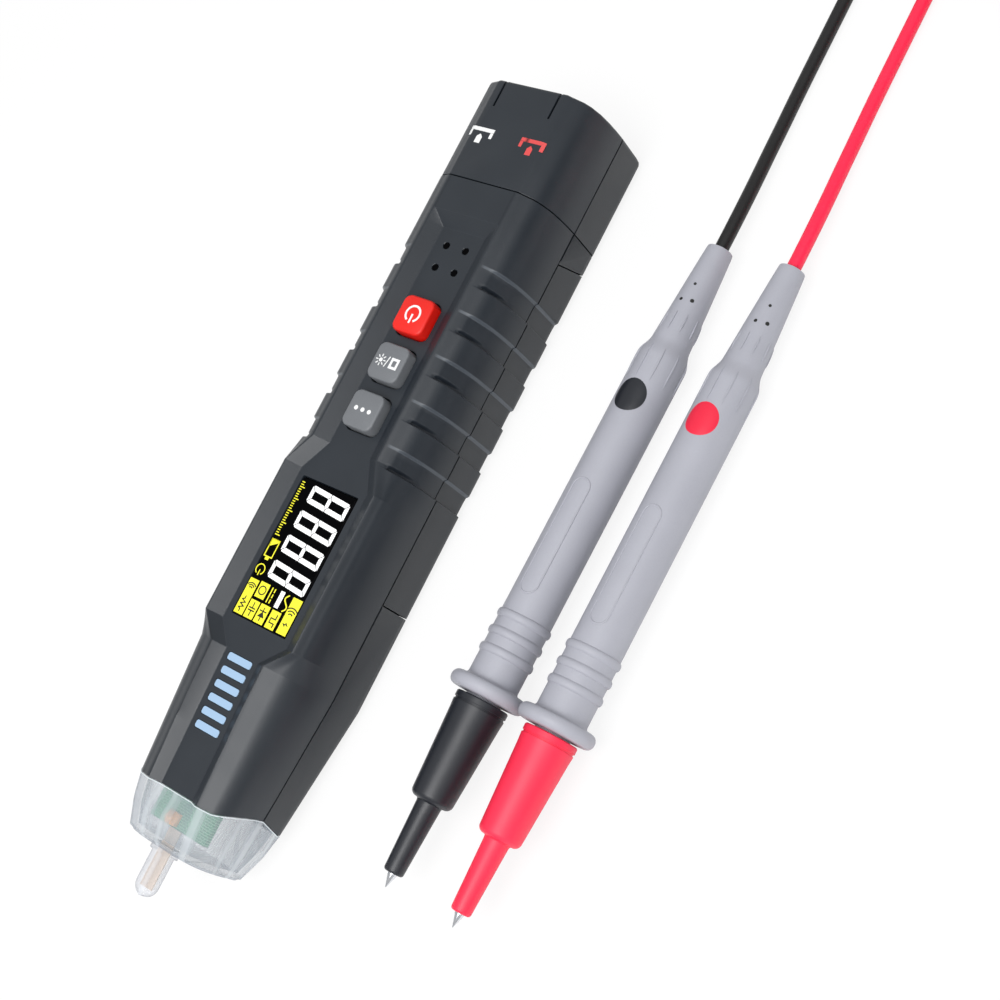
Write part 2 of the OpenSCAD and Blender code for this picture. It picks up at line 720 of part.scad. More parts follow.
// The clear nose: [place along it, share of its narrowing]
nose_shares = [[0, 0], [0.45, 0.35], [0.93, 1]];
spigot_wall = 1.2;
flange_l = 1;
nose_y = -nose_seam_y - seam_gap;
nose_end_y = -nose_seam_y - nose_l;
nose_end_w = nose_seam_w - 2 * nose_end_in;
finger_z = board_z + board_h / 2;
nose_end_top = finger_z + finger_h / 2 + nose_end_rise;
collar_l = 1.2;
strip_end = 1.6; // clear plastic left ahead of the strip
board_nose_y = 54;
function nose_section(share, inset) = outline(
    nose_seam_w / 2 + share * (nose_end_w - nose_seam_w) / 2 - inset,
    nose_seam_low + share * (nose_end_low - nose_seam_low) + inset,
    nose_seam_top + share * (nose_end_top - nose_seam_top) - inset,
    rim_nose - share * rim_w - inset, 0, corner_r);
module nose_lens() {
    spigot_y = -nose_seam_y + nose_spigot_l;
    function place(s) = nose_y + s[0] * (nose_end_y - nose_y);
    color("#dfe8ea", 0.5) difference() {
        union() {
            skin([at_y(nose_end_y, nose_section(1, rim_r)), for (k = [2 : -1 : 1])
                at_y(place(nose_shares[k]), nose_section(nose_shares[k][1], 0)),
                at_seam(nose_y, nose_section(0, 0))]);
            skin([at_y(nose_y - flange_l, room_section(-nose_seam_y, touch)),
                at_y(spigot_y, room_section(-nose_seam_y, touch))]);
            translate([0, 0, finger_z - finger_h / 2]) linear_extrude(height = finger_h) finger_plan();
            slab(finger_w / 2 + collar_w, nose_end_y - collar_l, nose_end_y + nose_wall / 2,
                finger_z - finger_h / 2 - collar_w, finger_z + finger_h / 2 + collar_w);
        }
        skin([at_y(nose_end_y + nose_wall, nose_section(1, nose_wall)),
            at_y(place(nose_shares[1]), nose_section(nose_shares[1][1], nose_wall)),
            at_y(nose_y - flange_l - nose_wall, nose_section(nose_shares[0][1], nose_wall + spigot_wall)),
            at_y(nose_y - flange_l, room_section(-nose_seam_y, touch + spigot_wall)),
            at_y(spigot_y + over, room_section(-nose_seam_y, touch + spigot_wall))]);
        slab(strip_w / 2 + touch, nose_end_y - finger_l + strip_end - touch, nose_seam_y,
            finger_z - strip_h / 2 - touch, finger_z + strip_h / 2 + touch);
    }
}
module finger_plan() {
    tip_y = nose_end_y - finger_l + finger_w / 2;
    translate([0, tip_y]) circle(d = finger_w);
    translate([-finger_w / 2, tip_y]) square([finger_w, nose_end_y + nose_wall / 2 - tip_y]);
}
module antenna_strip() {
    color("#c8a98a") slab(strip_w / 2, nose_end_y - finger_l + strip_end, -board_nose_y,
        finger_z - strip_h / 2, finger_z + strip_h / 2);
}
light_x = -1.8;
light_y = 52.1;
light_w = 3;
light_room = (nose_seam_top + nose_end_top) / 2 - nose_wall - board_top;
light_base_share = 0.5;
light_dome_share = 0.78;
lamp_share = 0.8;
module nose_light() {
    color("#f0a64a") translate([light_x, -light_y, board_top]) {
        translate([-light_w / 2, -light_w / 2, 0]) cube([light_w, light_w, light_room * light_base_share]);
        cylinder(h = light_room * light_dome_share, d = light_w * lamp_share);
    }
}

// The main board and what stands on it
board_side = 3.5; // from the meter's side to the board
board_nose_side = 3;
board_nose_half = nose_end_w / 2 - board_nose_side;
board_taper_half = nose_seam_w / 2 - board_nose_side;
board_half = half_w - board_side;
board_rear_y = 107.8;
board_steps = [[board_nose_half, -board_nose_y], [board_nose_half, -42], [board_taper_half, -37],
    [board_taper_half, -15], [board_half, -10], [board_half, board_rear_y]];
post_clear = 0.3;
module main_board() {
    n = len(board_steps);
    color("#3f8f5a") translate([0, 0, board_z]) linear_extrude(height = board_h) difference() {
        polygon(concat(board_steps, [for (k = [n - 1 : -1 : 0]) [-board_steps[k][0], board_steps[k][1]]]));
        for (p = posts) translate(p) circle(d = post_d + 2 * post_clear);
    }
}
chip_w = 10;
chip_h = 1.6;
chip_lead_w = 12;
chip_lead_h = 0.3;
chip_y = 55;
module meter_chip() {
    color("#1e2022") {
        slab(chip_w / 2, chip_y - chip_w / 2, chip_y + chip_w / 2, board_z - chip_h, board_z);
        slab(chip_lead_w / 2, chip_y - chip_w / 2, chip_y + chip_w / 2, board_z - chip_lead_h, board_z);
    }
}
module display_glass() {
    color("#0d0f12") slab(glass_w / 2, glass_y - glass_l, glass_y, glass_z, floor_z);
}
module_drop = 0.2;
module display_module() {
    y0 = glass_y - glass_l - module_margin;
    color("#5b6064") {
        slab(glass_w / 2 + module_margin, y0, glass_y + module_margin, board_top, roof_z - module_drop);
        slab(window_half - module_drop, glass_y - glass_l + glass_ledge + module_drop,
            glass_y - glass_ledge - module_drop, board_top, glass_z - module_drop / 2);
    }
}
guide_margin = 1;
guide_t = 1.2;
guide_leg_w = 1.6;
module level_bars() {
    last_y = -bar_y - (bar_count - 1) * bar_pitch;
    top = roof_at(last_y - bar_w / 2 - guide_margin) - module_drop;
    y0 = last_y - bar_w / 2 - guide_margin;
    y1 = -bar_y + bar_w / 2 + guide_margin;
    color("#a9c2dc") {
        slab(bar_half + guide_margin, y0, y1, top - guide_t, top);
        bar_boxes(0, top - touch, true);
        slab(bar_half, y0, y0 + guide_leg_w, board_top, top);
        slab(bar_half, y1 - guide_leg_w, y1, board_top, top);
    }
}
// A key cap with a rounded rim on a plate that keeps it behind the panel
key_rim_r = 0.5;
cap_steps = 4;
function cap_ring(w, l, r, z) = [for (c = [[1, 1, 0], [-1, 1, 90], [-1, -1, 180], [1, -1, 270]])
    for (k = [0 : cap_steps]) let (a = c[2] + 90 * k / cap_steps)
        [c[0] * (w / 2 - r) + r * cos(a), c[1] * (l / 2 - r) + r * sin(a), z]];
module key(y) {
    top = floor_z + key_proud;
    translate([0, y, 0]) {
        skin([
            cap_ring(key_w - 2 * key_rim_r, key_l - 2 * key_rim_r, key_r - key_rim_r, top),
            cap_ring(key_w - key_rim_r / 2, key_l - key_rim_r / 2, key_r - key_rim_r / 4, top - key_rim_r / 3),
            cap_ring(key_w, key_l, key_r, top - key_rim_r),
            cap_ring(key_w, key_l, key_r, key_flange_z)]);
        translate([0, 0, key_flange_z]) linear_extrude(height = key_flange_h - touch)
            rounded_plate(key_w + 2 * key_clear + 2 * key_flange_w,
                key_l + 2 * key_clear + 2 * key_flange_w, key_r);
    }
}
module power_button() {
    color("#c8242b") key(key_ys[2]);
}
module hold_button() {
    color("#6d7276") key(key_ys[1]);
}
module function_button() {
    color("#6d7276") key(key_ys[0]);
}
switch_w = 6;
switch_share = 0.7; // the switch's body, of its height with the knob
switch_knob_d = 3.2;
switch_rest = 0.05; // gap over a switch when its key is fully down
module key_switches() {
    color("#2a2c2e") for (y = key_ys) {
        full_h = key_flange_z - key_travel - switch_rest - board_top;
        slab(switch_w / 2, y - switch_w / 2, y + switch_w / 2, board_top,
            board_top + switch_share * full_h);
        translate([0, y, board_top]) cylinder(h = full_h, d = switch_knob_d);
    }
}
buzzer_d = 12;
buzzer_gap = 0.7;
buzzer_h = roof_z - board_top - buzzer_gap;
buzzer_hole_d = 2;
module buzzer() {
    color("#1b1d1f") translate([0, sound_y, board_top]) difference() {
        cylinder(h = buzzer_h, d = buzzer_d);
        translate([0, 0, buzzer_h - over]) cylinder(h = 2 * over, d = buzzer_hole_d);
    }
}

// A probe lies on its guard and on the end of its handle, with the tip slightly up
guard_r = guard_d / 2;
handle_r = handle_d / 2;
probe_tilt = asin((guard_r - handle_r) / handle_l);
shoulder_l = 4.1;
guard_round = 0.9;
guard_half = guard_t / 2;
rib_y = 8.5;
rib_half = 0.9;
rib_flank_share = 0.7;
needle_seat = 5;
function rib(s) = [[handle_r, s - rib_half], [handle_r + rib_h * rib_flank_share,
    s - rib_half * rib_flank_share], [handle_r + rib_h, s], [handle_r + rib_h * rib_flank_share,
    s + rib_half * rib_flank_share], [handle_r, s + rib_half]];
relief_shares = [[0, 0], [0.25, 0.3], [1, 1]];
handle_profile = concat(
    [for (s = relief_shares) [relief_end_d / 2 + s[1] * (relief_d - relief_end_d) / 2,
        -handle_l - relief_l + s[0] * (relief_l - shoulder_l)]],
    [[handle_r - guard_round / 2, -handle_l - guard_round], [handle_r, -handle_l]],
    [for (k = [rib_count - 1 : -1 : 0]) each rib(-rib_y - k * rib_pitch)],
    [[handle_r, -guard_half - guard_round], [handle_r + guard_round, -guard_half],
     [guard_r - guard_round, -guard_half], [guard_r, -guard_half + guard_round],
     [guard_r, guard_half - guard_round], [guard_r - guard_round, guard_half],
     [spigot_d / 2, guard_half], [spigot_d / 2, guard_half + spigot_l],
     [needle_d / 2 + touch, guard_half + spigot_l], [needle_d / 2 + touch, needle_seat],
     [0, needle_seat], [0, -handle_l - relief_l]]);
module at_probe(x) {
    translate([x, guard_y, guard_r]) rotate([-probe_tilt, 0, 0]) children();
}
badge_floor = sqrt(handle_r * handle_r - badge_d * badge_d / 4) - badge_depth;
module badge_core(d) {
    translate([0, badge_y, badge_floor]) cylinder(h = handle_r, d = d);
}
module handle(x) {
    at_probe(x) difference() {
        turned(handle_profile);
        badge_core(badge_d);
    }
}
module badge(x) {
    at_probe(x) intersection() {
        badge_core(badge_d - 2 * touch);
        translate([0, badge_y - badge_d, 0]) rotate([-90, 0, 0]) cylinder(h = 2 * badge_d, d = handle_d);
    }
}
shroud_gap = 0.6;
needle_l = guard_half + shroud_gap + shroud_l + shroud_tube_l + needle_proud - needle_seat;
needle_cone_l = 3.3;
needle_tip_d = 0.4;
module needle(x) {
    at_probe(x) turned([[0, needle_seat], [needle_d / 2, needle_seat],
        [needle_d / 2, needle_seat + needle_l - needle_cone_l],
        [needle_tip_d / 2, needle_seat + needle_l], [0, needle_seat + needle_l]]);
}
shroud_band = 1.5;
shroud_groove = 0.3;
shroud_groove_w = 0.5;
shroud_round = 1.6;
module shroud(x) {
    s0 = guard_half + shroud_gap;
    s1 = s0 + shroud_l;
    s2 = s1 + shroud_tube_l;
    spigot_r = spigot_d / 2 + shroud_clear;
    needle_r = needle_d / 2 + shroud_clear;
    seat = guard_half + spigot_l + shroud_gap;
    at_probe(x) turned([
        [spigot_r, s0], [shroud_d / 2, s0], [shroud_d / 2, s0 + shroud_band],
        [shroud_d / 2 - shroud_groove, s0 + shroud_band],
        [shroud_d / 2 - shroud_groove, s0 + shroud_band + shroud_groove_w],
        [shroud_d / 2, s0 + shroud_band + shroud_groove_w], [shroud_nose_d / 2, s1 - shroud_round],
        [shroud_nose_d / 2 - shroud_round / 4, s1 - shroud_round / 3],
        [shroud_nose_d / 2 - shroud_round, s1], [shroud_tube_d / 2, s1],
        [shroud_mouth_d / 2, s2], [needle_r, s2], [needle_r, seat], [spigot_r, seat]]);
}

// Each cord leaves its handle, comes down to the table and runs to a coil of two layers
cord_r = cord_d / 2;
plug_z = plug_d / 2;
cord_shift = 2.2;
cord_sides = 8;
exit_l = handle_l + relief_l;
function along_probe(s) = [0, guard_y + s * cos(probe_tilt), guard_r - s * sin(probe_tilt)];
cord_drop = [[-0.2, 129, 4.4], [-0.7, 137, 3.6], [-1.3, 145, 2.8], [-1.8, 153, 2.1],
    [-2.1, 161, 1.8], [-cord_shift, 169, cord_r], [-cord_shift, 177, cord_r],
    [-cord_shift, 186, cord_r], [-cord_shift, 195, cord_r], [-cord_shift, 204, cord_r],
    [-cord_shift, coil_y - 2 * cord_d, cord_r], [-cord_shift, coil_y - cord_d, cord_r]];
cord_path = concat([along_probe(exit_l), along_probe(exit_l + cord_d)], cord_drop);
module cord(x) {
    translate([x, 0, 0]) tube(cord_path, cord_r, cord_sides);
}
coil_rings = 24;
coil_sides = 6;
coil_exit_l = 12;
climb_half = 0.25; // turns before and after the reversal in which the cord climbs
function ease(u) = let (v = min(1, max(0, u))) v * v * (3 - 2 * v);
function coil_point(t) =
    let (r = coil_r - coil_pitch * (coil_turns - abs(coil_turns - t)),
        z = cord_r + (plug_z - cord_r) * ease((t - coil_turns + climb_half) / (2 * climb_half)))
    [r * cos(360 * t) - coil_r, coil_y + r * sin(360 * t), z];
coil_loop = [for (i = [0 : 2 * coil_turns * coil_rings]) coil_point(i / coil_rings)];
coil_path = concat([[0, coil_y - cord_d, cord_r]], coil_loop,
    [[0, coil_y + coil_exit_l / 2, plug_z], [0, coil_y + coil_exit_l, plug_z]]);
// The coil winds away from the other probe, so each side has its own hand
module coil(x, hand) {
    translate([x - cord_shift, 0, 0]) {
        if (hand > 0) tube(coil_path, cord_r, coil_sides);
        else mirror([1, 0, 0]) tube(coil_path, cord_r, coil_sides);
    }
}
loop_gap = min([for (i = [0 : len(coil_loop) - 1]) for (j = [i + coil_rings / 2 : len(coil_loop) - 1])
    norm(coil_loop[i] - coil_loop[j])]) - cord_d;
function path_l(path) = [for (i = [1 : len(path) - 1]) 1] * [for (i = [1 : len(path) - 1])
    norm(path[i] - path[i - 1])];
echo("least gap in a coil", loop_gap, "length of a cord", path_l(cord_path) + path_l(coil_path));

relief_tip_d = 5;
plug_relief_l = 14;
plug_y = coil_y + coil_exit_l;
plug_round = 0.8;
pin_root_l = 12;
pin_round = 0.5;
module at_plug(x) {
    translate([x - cord_shift, plug_y, plug_z]) rotate([-90, 0, 0]) children();
}
module plug(x) {
    body_end = plug_relief_l + plug_l;
    at_plug(x) rotate_extrude() polygon([[0, 0], [relief_tip_d / 2, 0],
        [plug_d / 2 - plug_round, plug_relief_l], [plug_d / 2, plug_relief_l + plug_round],
        [plug_d / 2, body_end - plug_round], [plug_d / 2 - plug_round / 2, body_end],
        [sleeve_d / 2, body_end], [sleeve_d / 2, body_end + sleeve_l],
        [sleeve_bore_d / 2, body_end + sleeve_l], [sleeve_bore_d / 2, body_end],
        [pin_d / 2 + touch, body_end], [pin_d / 2 + touch, body_end - pin_root_l],
        [0, body_end - pin_root_l]]);
}
module plug_pin(x) {
    start = plug_relief_l + plug_l - pin_root_l;
    end = plug_relief_l + plug_l + sleeve_l - pin_sunk;
    at_plug(x) rotate_extrude() polygon([[0, start], [pin_d / 2, start],
        [pin_d / 2, end - pin_round], [pin_d / 2 - pin_round, end], [0, end]]);
}

red_x = probe_x + probe_pitch;
module black_handle() {
    color("#bcc0c4") handle(probe_x);
}
module black_shroud() {
    color("#1c1d1f") shroud(probe_x);
}
module black_needle() {
    color("#c9ccd0") needle(probe_x);
}
module black_badge() {
    color("#1c1d1f") badge(probe_x);
}
module black_cord() {
    color("#1c1d1f") cord(probe_x);
}
module black_coil() {
    color("#1c1d1f") coil(probe_x, 1);
}
module black_plug() {
    color("#1c1d1f") plug(probe_x);
}
module black_plug_pin() {
    color("#c9ccd0") plug_pin(probe_x);
}
module red_handle() {
    color("#bcc0c4") handle(red_x);
}
module red_shroud() {
    color("#f0475f") shroud(red_x);
}
module red_needle() {
    color("#c9ccd0") needle(red_x);
}
module red_badge() {
    color("#d02a3c") badge(red_x);
}
module red_cord() {
    color("#c4203c") cord(red_x);
}
module red_coil() {
    color("#c4203c") coil(red_x, -1);
}
module red_plug() {
    color("#d02a3c") plug(red_x);
}
module red_plug_pin() {
    color("#c9ccd0") plug_pin(red_x);
}

front_shell();
back_shell();
end_cover_front();
end_cover_back();
jack_block();
com_jack_tube();
input_jack_tube();
nose_lens();
antenna_strip();
nose_light();
main_board();
meter_chip();
display_glass();
display_module();
level_bars();
power_button();
hold_button();
function_button();
key_switches();
buzzer();
battery_door();
door_screws();
battery_cells();
battery_springs();
battery_plates();
shell_screws();
black_handle();
black_shroud();
black_needle();
black_badge();
black_cord();
black_coil();
black_plug();
black_plug_pin();
red_handle();
red_shroud();
red_needle();
red_badge();
red_cord();
red_coil();
red_plug();
red_plug_pin();
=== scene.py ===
import math

import bmesh
import bpy
import numpy as np
from mathutils import Matrix, Vector


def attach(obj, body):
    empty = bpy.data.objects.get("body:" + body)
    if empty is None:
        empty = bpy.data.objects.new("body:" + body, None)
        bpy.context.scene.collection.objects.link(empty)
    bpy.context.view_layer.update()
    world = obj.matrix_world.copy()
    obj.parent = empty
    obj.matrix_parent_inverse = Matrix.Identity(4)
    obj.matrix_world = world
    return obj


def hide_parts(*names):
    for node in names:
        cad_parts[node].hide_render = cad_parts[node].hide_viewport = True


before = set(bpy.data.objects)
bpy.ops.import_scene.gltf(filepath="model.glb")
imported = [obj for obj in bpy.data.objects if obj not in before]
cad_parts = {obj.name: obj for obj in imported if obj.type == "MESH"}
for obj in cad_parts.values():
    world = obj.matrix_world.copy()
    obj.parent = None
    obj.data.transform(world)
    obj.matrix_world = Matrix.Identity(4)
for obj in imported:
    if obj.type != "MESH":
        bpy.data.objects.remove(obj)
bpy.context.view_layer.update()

mm = 0.001
root = "meter_and_leads"
print("frame loaded")


def stand(name, data):
    # a new object in the scene
    made = bpy.data.objects.new(name, data)
    bpy.context.scene.collection.objects.link(made)
    return made


# solved from the photo: where the camera stands in metres, and its three axes
camera = {
    "place": (0.24602, -0.00463, 0.32621),
    "right": (0.7694, 0.4506, -0.4527),
    "down": (0.3117, -0.8835, -0.3497),
    "forward": (-0.5575, 0.1280, -0.8202),
    "lens": 61.2,
    "sensor": 36.0,
    "clip": (0.005, 20),
}


def makeCamera(c):
    data = bpy.data.cameras.new("studioCamera")
    data.lens = c["lens"]
    data.sensor_width = c["sensor"]
    data.sensor_fit = "HORIZONTAL"
    data.clip_start, data.clip_end = c["clip"]
    eye = stand("studioCamera", data)
    right, down, ahead = (Vector(c[k]) for k in ("right", "down", "forward"))
    turn = Matrix((right, -down, -ahead)).transposed().to_4x4()
    eye.matrix_world = Matrix.Translation(Vector(c["place"])) @ turn
    bpy.context.scene.camera = eye


makeCamera(camera)


def rgb(r, g, b, a=1.0):
    # screen colour from 0 to 255, turned into the linear colour that nodes use
    return tuple((v / 255 / 12.92) if v / 255 <= 0.04045 else ((v / 255 + 0.055) / 1.055) ** 2.4
                 for v in (r, g, b)) + (a,)


class Signal:
    # a socket that can stand in a sum: 1 - mask or a * b adds its Math nodes
    def __init__(self, mat, socket):
        self.mat = mat
        self.socket = socket

    def __add__(self, other): return self.mat.calc("ADD", self, other)
    def __radd__(self, other): return self.mat.calc("ADD", other, self)
    def __sub__(self, other): return self.mat.calc("SUBTRACT", self, other)
    def __rsub__(self, other): return self.mat.calc("SUBTRACT", other, self)
    def __mul__(self, other): return self.mat.calc("MULTIPLY", self, other)
    def __rmul__(self, other): return self.mat.calc("MULTIPLY", other, self)
    def __truediv__(self, other): return self.mat.calc("DIVIDE", self, other)
    def __rtruediv__(self, other): return self.mat.calc("DIVIDE", other, self)


class Finish:
    # a material under construction round its Principled shader, or a world round its Background
    def __init__(self, name, kind="materials", shader="Principled BSDF"):
        self.material = getattr(bpy.data, kind).new(name)
        self.material.use_nodes = True
        self.tree = self.material.node_tree
        self.shader = self.tree.nodes[shader]

    def node(self, kind, settings, sockets, output=0):
        made = self.tree.nodes.new(kind)
        for key, value in settings.items():
            setattr(made, key, value)
        for key, value in sockets.items():
            self.join(made.inputs[key], value)
        return Signal(self, made.outputs[output])

    def join(self, socket, value):
        if isinstance(value, Signal):
            self.tree.links.new(value.socket, socket)
        else:
            socket.default_value = value

    def set(self, **sockets):
        # fills the shader's sockets and hands back the finished material
        for key, value in sockets.items():
            self.join(self.shader.inputs[key.replace("_", " ")], value)
        return self.material

    def spot(self, axis=None):
        # the place on the piece, or its share along one axis
        place = self.node("ShaderNodeTexCoord", {}, {}, "Object")
        return self.node("ShaderNodeSeparateXYZ", {}, {0: place}, axis) if axis else place

    def mixed(self, amount, other, end):
        # the shader and another one, mixed on the way to the output node
        mix = self.node("ShaderNodeMixShader", {},
                        {0: amount, 1: Signal(self, self.shader.outputs[0]), 2: other})
        self.join(self.tree.nodes[end].inputs[0], mix)

    def calc(self, operation, a, b=0.0):
        return self.node("ShaderNodeMath", {"operation": operation}, {0: a, 1: b})

    def noise(self, scale, detail=3.0, rough=0.55, at=None):
        return self.node("ShaderNodeTexNoise", {"noise_dimensions": "3D"},
                         {"Vector": at or self.spot(), "Scale": scale, "Detail": detail,
                          "Roughness": rough}, "Fac")

    def blend(self, amount, a, b):
        return self.node("ShaderNodeMix", {"data_type": "RGBA"}, {0: amount, 6: a, 7: b}, 2)

    def bump(self, height, strength, distance):
        return self.node("ShaderNodeBump", {}, {"Height": height, "Strength": strength,
                                                "Distance": distance}, "Normal")

    def ramp(self, value, low, high):
        return self.node("ShaderNodeMapRange", {"clamp": True},
                         {0: value, 1: low, 2: high, 3: 0.0, 4: 1.0})


# the grip grooves of each side, in millimetres, and the pale highlight painted on their jack-side
# slopes
grooves = {"first": 38.4, "pitch": 11.6, "count": 5, "width": 5.6, "depth": 0.7,
           "step": 0.3, "bevel": 0.8, "slit": 1.1, "slitW": 1.5}
highlightBand = {"end": 5.5, "from": (-0.75, -0.55), "to": (0.1, -0.1), "panel": (10.6, 11.4), "fade": 1}


def paintedHighlight(f):
    # 1 on the slope at the jack side of each grip groove, outside the panel, where a highlight is
    # painted; in millimetres
    g, end, fade = grooves, highlightBand["end"], highlightBand["fade"]
    along, across = f.spot("Y") * 1000, f.calc("ABSOLUTE", f.spot("X") * 1000)
    place = f.calc("FRACT", (along - g["first"]) / g["pitch"]) * g["pitch"]
    rising, falling = (f.ramp(place, *(end + k for k in highlightBand[side])) for side in ("from", "to"))
    last = g["first"] + g["count"] * g["pitch"]
    grip = f.ramp(along, g["first"] - fade, g["first"]) * f.ramp(along, last, last - fade)
    return rising * falling * grip * f.ramp(across, *highlightBand["panel"])


def mouldedPlastic(name, base, lift, rough, grain, depth, edge=None):
    # grain is the texture's size in waves per metre; lift brightens the grain's high spots; edge is
    # the colour of the highlight painted on the grip grooves' slopes
    f = Finish(name)
    fine = f.noise(grain, 2.0)
    broad = f.noise(90, 2.0)
    tone = f.blend(f.ramp(broad * 0.6 + fine * 0.4, 0.3, 0.7), rgb(*base), rgb(*lift))
    # the edge colour paints a highlight on the grooves' jack-side slopes
    return f.set(Base_Color=f.blend(paintedHighlight(f), tone, rgb(*edge)) if edge else tone,
                 Roughness=rough - 0.06 + broad * 0.12, Normal=f.bump(fine, 0.35, depth * mm))


def metal(name, base, rough, brushed=0.0):
    # brushed along Y: the noise is stretched by the Mapping node's scale
    f = Finish(name)
    mapped = f.node("ShaderNodeMapping", {}, {0: f.spot(), 3: (900, 60, 900)})
    streak = f.noise(1.0, 2.0, at=mapped)
    return f.set(Base_Color=rgb(*base), Metallic=1.0, Roughness=rough + streak * brushed)


def frostedPlastic(name, pale, dark, cover):
    # frosted moulding: pale stripes run along the meter, darker and denser where seen edge on
    f = Finish(name)
    turn = f.calc("ARCTAN2", f.spot("X"), f.spot("Z") - 0.002)
    wave = f.calc("SINE", turn * 21 + 0.6) * 0.5 + f.calc("SINE", turn * 34 + 1.9) * 0.5
    stripe = f.ramp(wave, 0.25, 0.8)
    facing = f.node("ShaderNodeLayerWeight", {}, {"Blend": 0.4}, "Facing")
    cloud = f.noise(120, 3.0)
    tone = f.ramp(facing * 0.9 + cloud * 0.3 - stripe * 0.35, 0.2, 0.95)
    veil = facing * 0.45 + stripe * 0.22 + cloud * 0.12 + (cover - 0.06)
    return f.set(Base_Color=f.blend(tone, rgb(*pale), rgb(*dark)), Roughness=cloud * 0.1 + 0.26,
                 Alpha=f.ramp(veil, 0.0, 1.0), IOR=1.45)


def displayBlack(name):
    # a black window with almost no sheen
    f = Finish(name)
    grain = f.noise(400, 2.0)
    return f.set(Base_Color=f.blend(grain, rgb(1, 1, 2), rgb(4, 4, 5)),
                 Roughness=grain * 0.05 + 0.3, Specular_IOR_Level=0.03)


def flatPrint(name, colour, rough=0.4, glow=0.0):
    # an even colour with a faint grain; glow keeps lit signs bright
    f, base = Finish(name), rgb(*colour)
    grain = f.noise(2500, 2.0)
    if glow:
        f.set(Emission_Color=base, Emission_Strength=glow)
    low = tuple(c * 0.86 for c in base[:3]) + (1,)
    return f.set(Base_Color=f.blend(grain * 0.3, base, low), Roughness=rough)


def boardFinish(name):
    # green laminate with a faint grid of tracks
    f = Finish(name)
    tracks = f.node("ShaderNodeTexBrick", {}, {
        "Vector": f.spot(), "Color1": rgb(34, 146, 100), "Color2": rgb(28, 130, 88),
        "Mortar": rgb(116, 190, 150), "Scale": 420.0, "Mortar Size": 0.03}, "Color")
    return f.set(Base_Color=tracks, Roughness=0.4)


def rubber(name, base, lift):
    f = Finish(name)
    grain = f.noise(1800, 3.0)
    return f.set(Base_Color=f.blend(f.ramp(grain, 0.3, 0.7), rgb(*base), rgb(*lift)),
                 Roughness=0.42 + grain * 0.1, Normal=f.bump(grain, 0.2, 0.05 * mm),
                 Sheen_Weight=0.02)


# screen colours from 0 to 255; bump depths in millimetres
finish = {
    # the last colour of body and back is their painted highlight on the grooves' jack-side slopes
    "body": mouldedPlastic("bodyPlastic", (28, 34, 41), (33, 39, 46), 0.42, 5200, 0.03,
                           (70, 76, 83)),
    "back": mouldedPlastic("backPlastic", (23, 28, 34), (28, 33, 39), 0.42, 5200, 0.03,
                           (76, 82, 89)),
    "inner": mouldedPlastic("innerPlastic", (20, 21, 23), (26, 27, 29), 0.6, 3000, 0.03),
    "redKey": mouldedPlastic("redKeyPlastic", (216, 18, 4), (224, 23, 7), 0.4, 1800, 0.01),
    "greyKey": mouldedPlastic("greyKeyPlastic", (104, 107, 111), (110, 113, 117), 0.46, 3200, 0.02),
    "grey": mouldedPlastic("probePlastic", (158, 159, 168), (164, 165, 174), 0.5, 2600, 0.03),
    "black": mouldedPlastic("blackPlastic", (24, 27, 34), (29, 32, 39), 0.4, 3200, 0.03),
    "coral": mouldedPlastic("coralPlastic", (236, 34, 68), (240, 40, 74), 0.46, 3200, 0.03),
    "crimson": mouldedPlastic("crimsonPlastic", (222, 24, 58), (226, 29, 63), 0.42, 3200, 0.03),
    "blackCord": rubber("blackCordRubber", (8, 8, 9), (13, 13, 14)),
    "redCord": rubber("redCordRubber", (240, 22, 66), (246, 30, 74)),
    "clear": frostedPlastic("frostedPlastic", (198, 205, 211), (128, 138, 154), 0.2),
    "finger": frostedPlastic("fingerPlastic", (214, 217, 224), (128, 132, 146), 0.26),
    "edge": flatPrint("rolledEdge", (214, 222, 226), 0.25),
    "glass": displayBlack("displayBlack"),
    "bar": flatPrint("barPlastic", (150, 178, 206), 0.3, 0.1),
    "white": flatPrint("whitePrint", (244, 245, 245), 0.4, 0.25),
    "yellow": flatPrint("yellowPrint", (232, 226, 48), 0.4, 0.2),
    "ink": flatPrint("darkInk", (18, 18, 14), 0.5),
    "printWhite": flatPrint("iconWhite", (232, 233, 233), 0.5),
    "printRed": flatPrint("iconRed", (214, 74, 74), 0.5),
    "tip": metal("platedTip", (206, 208, 212), 0.14, 0.06),
    "contact": metal("platedContact", (190, 192, 196), 0.28, 0.1),
    "brass": metal("jackMetal", (198, 190, 168), 0.25, 0.08),
    "screw": metal("screwSteel", (132, 134, 138), 0.34, 0.1),
    "strip": mouldedPlastic("stripFoil", (204, 186, 168), (212, 194, 176), 0.5, 900, 0.01),
    "board": boardFinish("boardLaminate"),
    "amber": flatPrint("amberLamp", (236, 168, 92), 0.3, 0.1),
    "can": mouldedPlastic("cellSkin", (150, 152, 156), (160, 162, 166), 0.3, 900, 0.01),
}
print("finishes made")


def placePiece(name, mesh, material, body, smooth):
    # an object for a finished mesh, shaded smooth up to an angle, riding on a body
    mesh.polygons.foreach_set("use_smooth", np.ones(len(mesh.polygons), bool))
    mesh.set_sharp_from_angle(angle=math.radians(smooth))
    mesh.materials.append(finish[material])
    piece = stand(name, mesh)
    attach(piece, body)
    return piece


